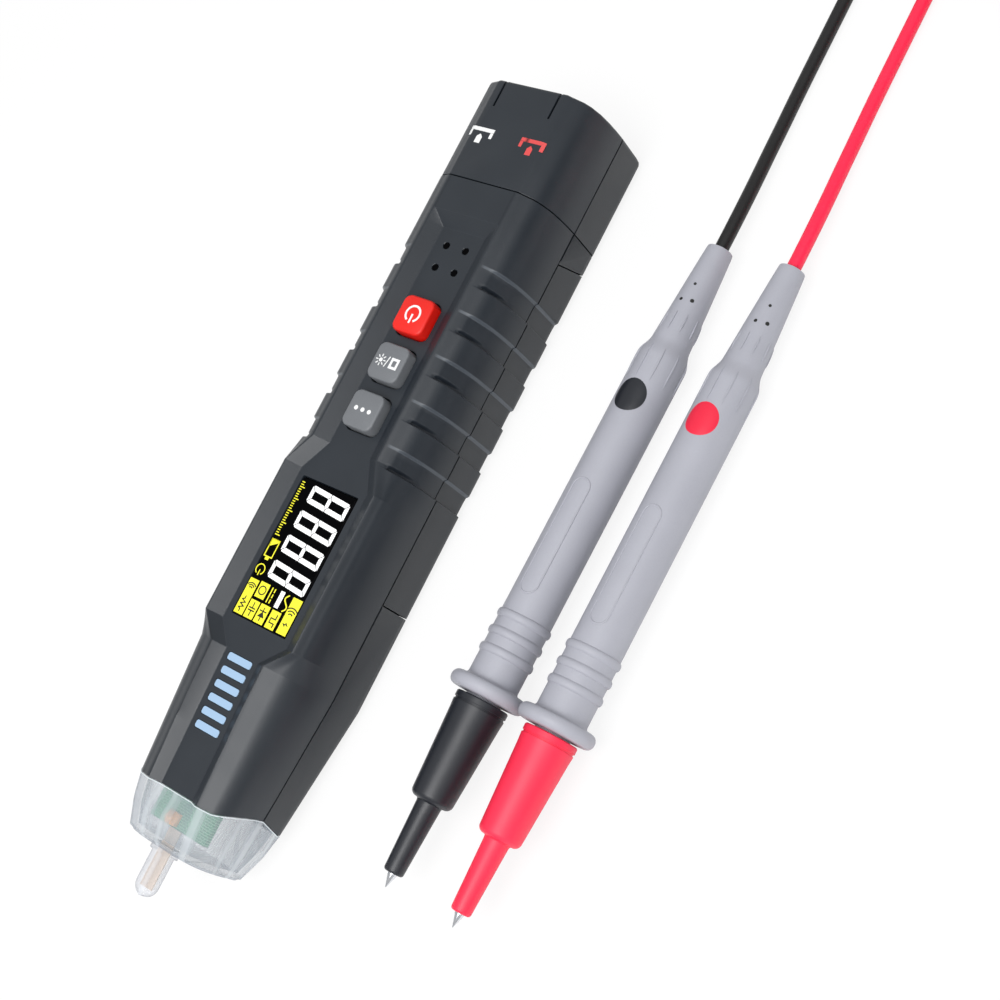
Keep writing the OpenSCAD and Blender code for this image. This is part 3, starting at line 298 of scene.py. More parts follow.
def addPiece(name, verts, faces, material, body=root, replaced=(), smooth=40.0):
    mesh = bpy.data.meshes.new(name)
    mesh.from_pydata(np.asarray(verts, float).tolist(), [], [list(map(int, f)) for f in faces])
    bm = bmesh.new()
    bm.from_mesh(mesh)
    bmesh.ops.remove_doubles(bm, verts=bm.verts, dist=1e-7)
    bmesh.ops.recalc_face_normals(bm, faces=bm.faces)
    bm.to_mesh(mesh)
    bm.free()
    piece = placePiece(name, mesh, material, body, smooth)
    if replaced:
        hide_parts(*replaced)
    return piece


def gridQuads(rows, cols, closeRows=False):
    # quads between neighbouring rows and columns of a grid of points whose columns close
    r = np.arange(rows if closeRows else rows - 1)
    i, j = (a.ravel() for a in np.meshgrid(r, np.arange(cols), indexing="ij"))
    i2, j2 = (i + 1) % rows, (j + 1) % cols
    return np.stack([i * cols + j, i * cols + j2, i2 * cols + j2, i2 * cols + j], 1)


def loftPiece(name, rings, material, **kind):
    # rings: array (rows, points, 3), each ring closed; its two ends are closed by flat caps
    rows, cols, _ = rings.shape
    faces = gridQuads(rows, cols).tolist()
    faces += [list(range(cols - 1, -1, -1)), list(range((rows - 1) * cols, rows * cols))]
    return addPiece(name, rings.reshape(-1, 3), faces, material, **kind)


def turnedPiece(name, profile, material, place, steps, ring=False, **kind):
    # a profile (radius, distance) carried round an axis: x = r cos a, z = r sin a, y = -distance;
    # a ring's profile joins itself, any other is closed by caps
    profile = np.asarray(profile, float)
    a = np.linspace(0, 2 * np.pi, steps, endpoint=False)
    r, s = profile[:, :1], profile[:, 1:]
    pts = np.stack([r * np.cos(a), -s + 0 * a, r * np.sin(a)], 2)
    pts = place(pts.reshape(-1, 3)).reshape(pts.shape)
    if not ring:
        return loftPiece(name, pts, material, **kind)
    faces = gridQuads(len(profile), steps, closeRows=True)
    return addPiece(name, pts.reshape(-1, 3), faces, material, **kind)


def smoothPath(points, per):
    # a smooth curve through the points, with per steps between neighbours: each span is a cubic
    # whose slope at a point is half the way from the point before it to the one after it
    p = np.asarray(points, float)
    p = np.vstack([2 * p[0] - p[1], p, 2 * p[-1] - p[-2]])
    t = np.linspace(0, 1, per, endpoint=False)[None, :, None]
    a, b, c, d = (p[k:len(p) - 3 + k, None, :] for k in range(4))
    curve = 0.5 * (2 * b + (c - a) * t + (2 * a - 5 * b + 4 * c - d) * t ** 2
                   + (3 * b - a - 3 * c + d) * t ** 3)
    return np.vstack([curve.reshape(-1, 3), p[-2:-1]])


def tubeRings(path, radius, sides, up=(0, 0, 1)):
    # circles square to the path: centre + r (cos a right + sin a lift)
    path = np.asarray(path, float)
    t = np.gradient(path, axis=0)
    t /= np.linalg.norm(t, axis=1, keepdims=True)
    right = np.cross(t, np.asarray(up, float))
    right /= np.linalg.norm(right, axis=1, keepdims=True)
    lift = np.cross(right, t)
    a = np.linspace(0, 2 * np.pi, sides, endpoint=False)[None, :, None]
    r = np.broadcast_to(np.asarray(radius, float).reshape(-1, 1, 1), (len(path), 1, 1))
    return path[:, None] + r * (np.cos(a) * right[:, None] + np.sin(a) * lift[:, None])


def closedTube(name, path, radius, material, **turn):
    # a thin tube along a path that joins itself
    rings = tubeRings(np.vstack([path[-1:], path, path[:1]]), radius * mm, 8, **turn)[1:-1]
    faces = gridQuads(len(path), 8, closeRows=True)
    return addPiece(name, rings.reshape(-1, 3), faces, material)


def refined(node, material, bevel=0.0, angle=32.0, body=root):
    # a copy of a CAD node with its loose triangles merged, its edges eased and its shading smooth
    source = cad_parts[node]
    mesh = source.data.copy()
    mesh.materials.clear()
    bm = bmesh.new()
    bm.from_mesh(mesh)
    bmesh.ops.remove_doubles(bm, verts=bm.verts, dist=2e-6)
    if bevel:
        bmesh.ops.dissolve_limit(bm, angle_limit=math.radians(1.0), verts=bm.verts, edges=bm.edges)
    bm.to_mesh(mesh)
    bm.free()
    first, *others = node.split("_")
    label = first + "".join(word.capitalize() for word in others) + "Part"
    piece = placePiece(label, mesh, material, body, angle)
    if bevel:
        ease = piece.modifiers.new("easedEdges", "BEVEL")
        ease.width = bevel
        ease.segments = 2
        ease.limit_method = "ANGLE"
        ease.angle_limit = math.radians(angle)
        ease.use_clamp_overlap = True
        ease.harden_normals = True
    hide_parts(node)
    return piece


lead = {
    "blackX": 50.6, "redX": 69.6, "guardY": 4.6, "guardR": 9.0, "handleR": 6.0, "handleL": 84.4,
    "reliefL": 29.0, "cordD": 3.4, "shift": 2.2, "coilY": 220.0, "coilR": 24.0, "coilPitch": 3.9,
    "turns": 3, "perTurn": 24, "exitL": 12.0, "plugZ": 5.6, "climb": 0.25, "length": 0.797,
}
tilt = math.asin((lead["guardR"] - lead["handleR"]) / lead["handleL"])
# the cord's way down to the table, and along it to the coil
dropPoints = [(-0.2, 129, 4.4), (-0.7, 137, 3.6), (-1.3, 145, 2.8), (-1.8, 153, 2.1),
              (-2.1, 161, 1.8)]
dropPoints += [(-2.2, y, 1.7) for y in (169, 177, 186, 195, 204, 213.2, 216.6)]


def probePlace(x):
    # from a probe's own axis, with its tip along -Y, to where it lies in the frame
    def place(p):
        c, s = math.cos(tilt), math.sin(tilt)
        y, z = p[:, 1], p[:, 2]
        return np.stack([p[:, 0] + x, lead["guardY"] + y * c + z * s,
                         lead["guardR"] - y * s + z * c], 1) * mm
    return place


def cordPath(hand):
    # out of the handle, down to the table, and round a coil of two layers that spirals in and out
    L = lead
    out = L["handleL"] + L["reliefL"]
    start = [(0, L["guardY"] + s * math.cos(tilt), L["guardR"] - s * math.sin(tilt))
             for s in (out, out + L["cordD"])]
    t = np.arange(0, 2 * L["turns"] * L["perTurn"] + 1) / L["perTurn"]
    r = L["coilR"] - L["coilPitch"] * (L["turns"] - np.abs(L["turns"] - t))
    u = np.clip((t - L["turns"] + L["climb"]) / (2 * L["climb"]), 0, 1)
    low = L["cordD"] / 2
    z = low + (L["plugZ"] - low) * u * u * (3 - 2 * u)
    coil = np.stack([-L["shift"] + hand * (r * np.cos(2 * np.pi * t) - L["coilR"]),
                     L["coilY"] + r * np.sin(2 * np.pi * t), z], 1)
    tail = [(-L["shift"], L["coilY"] + L["exitL"] * k, L["plugZ"]) for k in (0.5, 1.0)]
    return np.vstack([start, dropPoints, coil, tail])


def makeCord(side, x, hand, material):
    path = cordPath(hand)
    path[:, 0] += x
    fine = smoothPath(path, 3) * mm
    rings = tubeRings(fine, lead["cordD"] / 2 * mm, 16)
    piece = loftPiece(side + "Cord", rings, material, replaced=(side + "_cord", side + "_coil"))
    plugParts = [refined(side + "_plug", "black" if side == "black" else "crimson"),
                 refined(side + "_plug_pin", "tip")]
    return piece


makeCord("black", lead["blackX"], 1, "blackCord")
makeCord("red", lead["redX"], -1, "redCord")
print("cords made")


# the meter's body in millimetres: half widths, heights and places along Y
meter = {
    "half": 18.0, "top": 30.0, "seam": 13.5, "draft": 0.3, "cornerR": 3.5,
    "taperY": -12.6, "noseY": -45.6, "noseHalf": 16.0, "noseLow": 2.6, "noseTop": 27.5,
    "endSeam": 109.0, "floor": 27.7, "floorNose": 25.8, "slope": 3.4, "depth": 2.3,
    "rearY": 97.0, "wall": 2.0, "roofT": 1.8, "doorY": (11.7, 100.7), "seamGap": 0.3,
}
# the side from the widest line in to the rim, and from the seam up to the face
sideShares = np.array([[0, 0], [0.02, 0.2], [0.07, 0.4], [0.17, 0.61], [0.34, 0.78], [0.52, 0.875],
                       [0.72, 0.93], [0.9, 0.98], [1, 1]])
sideDense = smoothPath(np.c_[sideShares, np.zeros(9)], 4)[:, :2]
# what is let into the panel: size across and along, places, and its hole
keys = {"w": 9.1, "l": 9.2, "y": (48.9, 61.35, 73.8), "top": 30.4, "clear": 0.3, "deep": 1.4,
        "corner": 2.1, "soft": 0.16}
glass = {"w": 17.0, "l": 35.0, "y": (12.5,), "clear": 0.15, "deep": 1.05, "corner": 0.2,
         "soft": 0.16}
bars = {"w": 7.4, "l": 1.75, "y": -14.0 - 3.32 * np.arange(6), "clear": 0.1, "deep": 0.8,
        "corner": 0.65, "soft": 0.1}
holes = {"x": 2.9, "y": (87.0, 92.8), "r": 0.78, "deep": 1.5, "shadeR": 0.8}
holePlaces = [(x, y) for x in (-holes["x"], holes["x"]) for y in holes["y"]]
# how far the nose seam runs back toward the jacks at each height, as a share of its wave
wave = {"size": 2.4, "from": -38.0, "z": (0, 5, 7, 10.5, 13.5, 16.3, 19, 22, 24.4, 26, 30),
        "share": (0, 0.13, 0.2, 0.75, 1, 0.92, 0.7, 0.4, 0.07, -0.2, -0.2)}
door = {"slant": 3.4, "bendFrom": 88.0, "endWall": 2.0, "sill": 0.4}
# half widths at places along the meter: the sunk panel, the rim round it, and what is let into it
panel = {"y": (-60, -12.6, -7, 31.8, 39.4, 140), "half": (5.2, 5.2, 10.4, 10.4, 6.4, 6.4),
         "rim": (8.11, 8.11, 14.0, 14.0, 10.2, 10.2),
         "cutY": (-60, -11, -9, 33, 41, 80, 84, 120),
         "cutHalf": (3.8, 3.8, 8.65, 8.65, 4.85, 4.85, 4.0, 4.0)}
# across the front shell: rebate at the seam, and the roundings at the panel wall's two ends
lip = {"in": 0.5, "up": 0.24, "out": 0.28, "topRound": 0.14, "footRound": 0.25, "band": 0.14}


def easeIn(u):
    # 3 u^2 - 2 u^3 between 0 and 1, level outside
    u = np.clip(u, 0, 1)
    return u * u * (3 - 2 * u)


def taperShare(y):
    # 0 up to the start of the nose's taper, 1 at the nose seam, straight between
    return np.clip((meter["taperY"] - y) / (meter["taperY"] - meter["noseY"]), 0, 1)


def halfAt(y): return meter["half"] - taperShare(y) * (meter["half"] - meter["noseHalf"])
def lowAt(y): return taperShare(y) * meter["noseLow"]
def topAt(y): return meter["top"] - taperShare(y) * (meter["top"] - meter["noseTop"])
def floorAt(y): return meter["floor"] - taperShare(y) * (meter["floor"] - meter["floorNose"])
def panelHalf(y): return np.interp(y, panel["y"], panel["half"])
def rimAt(y): return np.interp(y, panel["y"], panel["rim"])


def grooveDepth(y):
    # steep on the tip side, a slope on the jack side, both with soft edges
    total = 0 * y
    for k in range(grooves["count"]):
        a = grooves["first"] + k * grooves["pitch"]
        b = a + grooves["width"]
        total += easeIn((y - a) / grooves["step"]) * easeIn((b - y) / grooves["bevel"])
    return total * grooves["depth"]


def waveAt(z):
    # the nose seam's run toward the jacks at height z, from the table of shares
    return wave["size"] * np.interp(z, wave["z"], wave["share"])


def slitDepth(y):
    # a deeper, narrow cut along the tip side of each groove, by the fold
    total = 0 * y
    for k in range(grooves["count"]):
        a = grooves["first"] + k * grooves["pitch"]
        total += easeIn((y - a) / grooves["step"]) * easeIn((a + grooves["slitW"] - y) / 0.9)
    return total * grooves["slit"]


def boxField(x, y, cx, cy, hw, hl, r):
    # signed distance to a rounded rectangle, negative inside
    dx, dy = np.abs(x - cx) - hw + r, np.abs(y - cy) - hl + r
    return np.hypot(np.maximum(dx, 0), np.maximum(dy, 0)) + np.minimum(np.maximum(dx, dy), 0) - r


def sunk(field, soft):
    # 1 inside an outline and 0 outside, eased over the width soft
    return easeIn(0.5 - field / soft)


def floorDrop(x, y):
    # how far the panel floor is cut down: key holes, display seat, bar slots and sound holes
    drop = 0 * x
    for kind in (keys, glass, bars):
        c = kind["clear"]
        for at in kind["y"]:
            field = boxField(x, y, 0, at, kind["w"] / 2 + c, kind["l"] / 2 + c, kind["corner"])
            drop = np.maximum(drop, kind["deep"] * sunk(field, kind["soft"]))
    for hx, hy in holePlaces:
        drop = np.maximum(drop, holes["deep"] * sunk(np.hypot(x - hx, y - hy) - holes["r"], 0.3))
    return drop


def rounded(a, b, c, size, count):
    # the corner b of the line a-b-c, rounded by a quadratic curve that starts size away from b
    ab = (a - b) / np.maximum(np.linalg.norm(a - b, axis=-1, keepdims=True), 1e-6)
    cb = (c - b) / np.maximum(np.linalg.norm(c - b, axis=-1, keepdims=True), 1e-6)
    p0, p2 = b + ab * size, b + cb * size
    t = np.linspace(0, 1, count)[None, :, None]
    return (1 - t) ** 2 * p0[:, None] + 2 * t * (1 - t) * b[:, None] + t ** 2 * p2[:, None]


def mirrored(right):
    # right halves of sections and the left halves after them, sharing the middle point
    return np.concatenate([right, right[:, -2::-1] * np.array([-1, 1])], 1)


def frontOuter(y):
    # right half of the front shell's section from the seam to the middle, mirrored for the left
    half, top, rim = halfAt(y), topAt(y), rimAt(y)
    depth = top - floorAt(y)
    rear = np.clip((y - meter["rearY"]) / meter["slope"], 0, 1)
    run = meter["slope"] * depth / meter["depth"]
    edge = panelHalf(y) + run
    floorZ = floorAt(y) + rear * depth
    floorHalf = panelHalf(y) + run * rear * 0.9
    s, h = sideDense[:, 0][None], sideDense[:, 1][None]
    fade = np.interp(h, [0, 0.5, 0.7, 0.84, 0.93, 1], [0.9, 1, 1.6, 1.5, 0.2, 0])
    slit = np.interp(h, [0.45, 0.6, 0.72, 0.86, 0.94], [0, 0.5, 1, 1, 0])
    cut = grooveDepth(y)[:, None] * fade + slitDepth(y)[:, None] * slit
    side = np.stack([half[:, None] - s * (half - rim)[:, None] - cut,
                     meter["seam"] + h * (top - meter["seam"])[:, None]], 2)
    # the lower edge is rebated, so the seam reads as a dark line
    foot = side[:, :1] - np.array([lip["in"], 0])
    side = np.concatenate([foot, foot + np.array([0, lip["up"]]),
                           foot + np.array([lip["in"], lip["out"]]), side[:, 1:]], 1)
    rimP = np.stack([rim, top], 1)
    edgeP = np.stack([edge, top], 1)
    floorP = np.stack([floorHalf, floorZ], 1)
    midP = np.stack([0 * y, floorZ], 1)
    wallTop = rounded(rimP, edgeP, floorP, lip["topRound"], 4)
    wallFoot = rounded(edgeP, floorP, midP, lip["footRound"], 5)
    # columns across the floor stand close together at the edges of what is let into it
    letIn = np.interp(y, panel["cutY"], panel["cutHalf"])
    last, near = floorHalf - lip["footRound"], lip["band"]
    outerX = last[:, None] + np.linspace(0, 1, 5)[None, 1:-1] * (letIn + near - last)[:, None]
    bandX = letIn[:, None] + np.array([near, 0.09, 0.045, 0, -0.045, -0.09, -near])[None]
    innerX = (letIn - near)[:, None] * np.linspace(1, 0, 25)[1:][None]
    fx = np.concatenate([outerX, bandX, innerX], 1)
    fz = floorZ[:, None] - floorDrop(fx, y[:, None] + 0 * fx) * (1 - rear)[:, None]
    floorPts = np.stack([fx, fz], 2)
    return mirrored(np.concatenate([side, wallTop, wallFoot, floorPts], 1))


def frontInner(y):
    # the room inside, from the left seam over the roof to the right seam
    w, rim, roof = halfAt(y) - meter["wall"], rimAt(y) - meter["wall"], floorAt(y) - meter["roofT"]
    s, h = sideShares[:, 0][None], sideShares[:, 1][None]
    right = np.stack([w[:, None] - s * (w - rim)[:, None],
                      meter["seam"] + h * (roof - meter["seam"])[:, None]], 2)
    return np.concatenate([right * np.array([-1, 1]), right[:, ::-1]], 1)


def lowOuter(y):
    # the lower half's section from the right seam, round the bottom, to the left seam
    half, low, top = halfAt(y), lowAt(y), meter["seam"] - meter["seamGap"]
    g = grooveDepth(y)[:, None]
    a = np.linspace(0, np.pi / 2, 9)[None]
    r = meter["cornerR"]
    arc = np.stack([half[:, None] - meter["draft"] - g - r + r * np.cos(a),
                    low[:, None] + r - r * np.sin(a)], 2)
    z = np.linspace(1, 0, 6)[:-1][None] * (top - low[:, None] - r) + low[:, None] + r
    x = half[:, None] - meter["draft"] * (top - z) / (top - low[:, None] - r) - g
    inset = np.array([0.12, 0.04, 0, 0, 0])[None]
    side = np.stack([x - inset, z + 0 * x], 2)
    xs = (half - meter["draft"] - r)[:, None] * np.linspace(1, 0, 12)[1:][None]
    bottom = np.stack([xs, low[:, None] + lowDrop(xs, y[:, None] + 0 * xs)], 2)
    return mirrored(np.concatenate([side, arc, bottom], 1))


screwSinks = {"doorY": (17.0, 95.0), "doorR": 2.3, "doorDepth": 1.5}


def lowDrop(x, y):
    # round sinks for the door's screws, cut up into its underside
    drop = 0 * x
    for sy in screwSinks["doorY"]:
        drop = np.maximum(drop, screwSinks["doorDepth"]
                          * sunk(np.hypot(x, y - sy) - screwSinks["doorR"], 0.4))
    return drop


def lowInner(y):
    # right half of the room inside the lower half, from its floor up to the seam
    w, low, r = halfAt(y) - meter["wall"], lowAt(y) + meter["wall"], 1.5
    top = meter["seam"] - meter["seamGap"]
    a = np.linspace(0, np.pi / 2, 5)[None]
    arc = np.stack([(w - r)[:, None] + r * np.cos(a), low[:, None] + r - r * np.sin(a)], 2)
    seam = np.stack([w, 0 * w + top], 1)[:, None]
    return np.concatenate([seam, arc], 1)[:, ::-1]


def rowPlaces(y0, y1, coarse, spots):
    # rows along the meter: coarse everywhere, close together near each spot (place, reach, step)
    ys = [np.arange(y0, y1, coarse), [y1]]
    for at, reach, step in spots:
        ys.append(np.arange(at - reach, at + reach + step / 2, step))
    ys = np.unique(np.round(np.concatenate(ys), 4))
    ys = ys[(ys >= y0) & (ys <= y1)]
    keep = np.concatenate([[True], np.diff(ys) > 0.03])
    return ys[keep]


grooveSpots = []
for k in range(grooves["count"]):
    a = grooves["first"] + k * grooves["pitch"]
    grooveSpots += [(a + 0.15, 0.25, 0.06), (a + 1.05, 0.6, 0.15),
                    (a + grooves["width"] - 0.25, 0.35, 0.08)]
rearSpots = (meter["rearY"], meter["rearY"] + meter["slope"])
cornerSpots = [(y, 0.3, 0.15) for y in (*panel["y"][1:5], *rearSpots)]
holeSpots = [(hy, 1.2, 0.15) for hy in holes["y"]]
for kind, inset, *closeness in ((keys, 0, 0.35, 0.07), (keys, 1, 1.0, 0.3),
                                (bars, 0, 0.12, 0.05), (glass, 0, 0.25, 0.06)):
    reach = kind["l"] / 2 + kind["clear"] - inset
    holeSpots += [(at + side * reach, *closeness) for at in kind["y"] for side in (-1, 1)]


def shellPiece(name, ys, outer, inner, material, **kind):
    # the loop outer + inner carried along Y; each end is closed by one flat face.
    # Rows near the nose bend with its wavy seam, and the door's rear rows lean back
    loop = np.concatenate([outer(ys), inner(ys)], 1)
    x, z = loop[:, :, 0], loop[:, :, 1]
    nose = np.clip((wave["from"] - ys) / (wave["from"] - meter["noseY"]), 0, 1)[:, None]
    rear = np.clip((ys - door["bendFrom"]) / (meter["doorY"][1] - door["bendFrom"]), 0, 1)[:, None]
    lean = door["slant"] * np.clip(1 - z / meter["seam"], 0, 1)
    y = ys[:, None] + nose * waveAt(z) + rear * lean
    pts = np.stack([x, y, z], 2) * mm
    return loftPiece(name, pts, material, **kind)


frontYs = rowPlaces(meter["noseY"], meter["endSeam"], 1.2,
                    grooveSpots + cornerSpots + holeSpots
                    + [(-45.5, 0.1, 0.05), (108.9, 0.1, 0.05)])
frontSkin = shellPiece("frontShellSkin", frontYs, frontOuter, frontInner, "body",
                       replaced=("front_shell",), smooth=50.0)


def doorInner(y):
    # left to right round the inside of the door, shallow at its two end walls
    right = lowInner(y)
    fromEnd = np.minimum(y - meter["doorY"][0], meter["doorY"][1] - y)[:, None]
    sill = meter["seam"] - meter["seamGap"] - door["sill"]
    z = np.where(fromEnd < door["endWall"] * 0.999, sill, right[:, :, 1])
    right = np.stack([right[:, :, 0], z], 2)
    left = right[:, ::-1] * np.array([-1, 1])
    return np.concatenate([left, right], 1)


doorYs = rowPlaces(*meter["doorY"], 1.6,
                   grooveSpots + [(sy, 2.6, 0.25) for sy in screwSinks["doorY"]]
                   + [(meter["doorY"][0] + door["endWall"], 0.02, 0.01),
                      (meter["doorY"][1] - door["endWall"], 0.02, 0.01)])
doorSkin = shellPiece("batteryDoorSkin", doorYs, lowOuter, doorInner, "back", body="door",
                      replaced=("battery_door",), smooth=50.0)
print("shells made", len(frontYs), len(doorYs))

for node, look, *ease in (("back_shell", "back", 0.15), ("end_cover_front", "body", 0.2, 42.0),
                          ("end_cover_back", "back", 0.2), ("jack_block", "inner"),
                          ("com_jack_tube", "brass"), ("input_jack_tube", "brass"),
                          ("nose_light", "amber"), ("main_board", "board"),
                          ("battery_cells", "can"), ("battery_springs", "contact"),
                          ("shell_screws", "screw"), ("display_glass", "glass", 0.06),
                          ("level_bars", "bar", 0.05)):
    refined(node, look, *ease)
refined("door_screws", "screw", body="door")
# the strip rises with the finger that holds it, and nearly fills its width
strip = refined("antenna_strip", "strip")
strip.data.transform(Matrix.Translation((0, 0, 1.0 * mm)) @ Matrix.Diagonal((1.7, 1, 1, 1)))
for key, look in (("power", "redKey"), ("hold", "greyKey"), ("function", "greyKey")):
    refined(key + "_button", look, 0.12, body=key + "_key")
# these stay as the CAD has them and only take a finish
for node, look in (("meter_chip", "inner"), ("display_module", "contact"),
                   ("key_switches", "inner"), ("buzzer", "inner"), ("battery_plates", "contact")):
    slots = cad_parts[node].data.materials
    for k in range(len(slots)):
        slots[k] = finish[look]
print("carried pieces dressed")

nose = {"y0": -45.9, "y1": -58.8, "half": (16.0, 13.4), "low": (2.6, 4.8), "top": (27.5, 24.3),
        "rim": (8.11, 6.5), "wall": 1.6, "round": 1.9, "ribs": 11, "ribDepth": 0.25,
        "waveTo": 0.45, "edgeR": 0.13, "dipTo": 0.45}


def noseRing(share, inset, ripple=0.0):
    # the meter's section drawn in from the seam to the end of the nose
    half, low, top, rim = (np.interp(share, [0, 1], nose[k]) for k in ("half", "low", "top", "rim"))
    half, low, top, rim = half - inset, low + inset, top - inset, rim - inset
    a = np.linspace(0, np.pi / 2, 9)
    r = max(meter["cornerR"] - inset, 0.6)
    arc = np.stack([half - meter["draft"] - r + r * np.sin(a), low + r - r * np.cos(a)], 1)
    side = np.stack([half - sideDense[:, 0] * (half - rim),
                     meter["seam"] + sideDense[:, 1] * (top - meter["seam"])], 1)
    # at the seam the top carries the sunk panel on, and evens out on the way to the end
    dip = (meter["noseTop"] - meter["floorNose"]) * (1 - easeIn(share / nose["dipTo"]))
    flat = np.stack([rim * np.array([0.95, 0.64, 0.43, 0.21, 0]),
                     top - dip * np.array([0, 1, 1, 1, 1])], 1)
    base = np.stack([np.linspace(0, arc[0, 0], 6)[1:-1], np.full(4, low)], 1)
    right = np.concatenate([base, arc, side, flat], 0)
    left = (right * np.array([-1, 1]))[::-1]
    ring = np.concatenate([right, left[1:]], 0)
    if ripple:
        turn = np.arctan2(ring[:, 1] - meter["seam"], ring[:, 0])
        ring = ring * (1 - ripple * (0.5 + 0.5 * np.cos(turn * nose["ribs"] * 2)) / 14)[:, None] \
            + np.array([0, meter["seam"] * ripple / 14 * 0.5])
    return ring


def drawnIn(y, ring):
    # a ring drawn in to its middle in three steps, which closes a wall
    mid = ring.mean(0)
    return [(y, mid + (ring - mid) * k) for k in (0.6, 0.25, 0.02)]


def makeNose():
    # outer rings from the seam to a rounded end and in to its middle, then the inner wall back;
    # all rings near the seam follow its wave
    shares = np.array([0, 0.12, 0.25, 0.38, 0.5, 0.62, 0.74, 0.85, 0.93])
    drawn = np.interp(shares, [0, 0.45, 0.93], [0, 0.35, 1])
    span = nose["y1"] - nose["y0"]
    rings = []
    for s, d in zip(shares, drawn):
        rings.append((nose["y0"] + s * span, noseRing(d, 0)))
    for a in np.radians((30, 60, 90)):
        k = nose["round"]
        rings.append((nose["y1"] + k * (1 - math.sin(a)), noseRing(1, k * (1 - math.cos(a)))))
    rings += drawnIn(nose["y1"], rings[-1][1])
    inner = []
    for s, d in zip(shares, drawn):
        y = nose["y0"] + s * span
        if y > nose["y1"] + nose["wall"] + 0.1:
            inner.append((y, noseRing(d, nose["wall"], nose["ribDepth"])))
    inner += drawnIn(nose["y1"] + nose["wall"], inner[-1][1])
    allRings = rings + inner[::-1]
    flat = np.array([ring for _, ring in allRings])
    ys = np.array([y for y, _ in allRings])[:, None] + 0 * flat[:, :, 0]
    fade = np.clip(1 - (ys - nose["y0"]) / span / nose["waveTo"], 0, 1)
    ys = ys + fade * waveAt(flat[:, :, 1])
    pts = np.stack([flat[:, :, 0], ys, flat[:, :, 1]], 2) * mm
    rows, cols, _ = pts.shape
    closedTube("noseEdge", pts[0], nose["edgeR"], "edge", up=(0, 1, 0))
    faces = gridQuads(rows, cols, closeRows=True)
    # the two poles stay apart: the outer and the inner wall are joined only at the seam
    split = len(rings) - 1
    faces = [f for f in faces.tolist() if not (f[0] // cols == split)]
    faces.append([split * cols + k for k in range(cols)])
    faces.append([(split + 1) * cols + k for k in range(cols)])
    return addPiece("clearNose", pts.reshape(-1, 3), faces, "clear", replaced=("nose_lens",))


noseSkin = makeNose()

finger = {"w": 6.0, "h": 2.6, "z": 19.8, "root": -58.0, "end": -70.2, "r": 0.9, "collar": 1.0,
          "collarL": 1.9, "thin": 0.5}


def roundedSection(w, h, r, per=5):
    # a rectangle w by h whose corners are quarter circles of radius r
    a = np.concatenate([np.linspace(q, q + 90, per) for q in (0, 90, 180, 270)])
    cx = np.repeat([1, -1, -1, 1], per) * (w / 2 - r)
    cz = np.repeat([1, 1, -1, -1], per) * (h / 2 - r)
    return np.stack([cx + r * np.cos(np.radians(a)), cz + r * np.sin(np.radians(a))], 1)


def makeFinger():
    # sections along the finger: a collar at its root, then w cos a wide up to the round end
    f = finger
    half, root, collar = f["w"] / 2, f["root"], f["collar"]
    a = np.radians(np.linspace(0, 86, 12))
    ys = np.concatenate([[root, root - f["collarL"], root - f["collarL"] - 0.1],
                         f["end"] + half - half * np.sin(a)])
    ws = np.concatenate([[f["w"] + collar, f["w"] + collar, f["w"]], f["w"] * np.cos(a)])
    hs = np.concatenate([[f["h"] + collar, f["h"] + collar, f["h"]],
                         f["h"] - f["thin"] * (1 - np.cos(a))])
    rings = []
    for y, w, h in zip(ys, ws, hs):
        ring = roundedSection(w, h, min(f["r"], w * 0.45, h * 0.45))
        rings.append(np.stack([ring[:, 0], np.full(len(ring), y), ring[:, 1] + f["z"]], 1))
    return loftPiece("clearFinger", np.array(rings) * mm, "finger")


fingerSkin = makeFinger()
print("nose made")

probe = {"ribs": (8.5, 12.7, 16.9), "ribHalf": 0.95, "ribH": 0.5, "shroudR": 6.2, "noseR": 4.95,
         "tubeR": 2.9, "mouthR": 2.3, "band": 1.5, "groove": 0.5, "grooveD": 0.3, "needleR": 1.2,
         "proud": 3.3, "fillet": 0.9, "before": 1.0, "after": 4.1, "neckR": 4.7,
         "neck": ((22.8, 3.56), (29.0, 3.15)), "shroud": (2.3, 26.9), "mouth": 16.7,
         "ridges": ((-1.35, -0.75, -0.15, 0.45, 1.07, 1.75), (-0.6, 0.0, 0.62, 1.3, 2.0)),
         "dimples": ((102.6, 0.13, 0.36), (98.2, -0.21, 0.42), (98.5, 0.46, 0.48)),
         "redTurn": 0.17, "badge": (72.6, 6.02, 4.0, 0.12)}


def handleRadius(s):
    # the handle's radius at a distance s from the guard toward the cord
    p, d = probe, s - lead["handleL"]
    fall = lead["handleR"] - p["neckR"]
    shoulder = lead["handleR"] - fall * easeIn((d + p["before"]) / (p["before"] + p["after"]))
    at, r = zip((p["after"], p["neckR"]), *p["neck"])
    return np.where(d < p["after"], shoulder, np.interp(d, at, r))


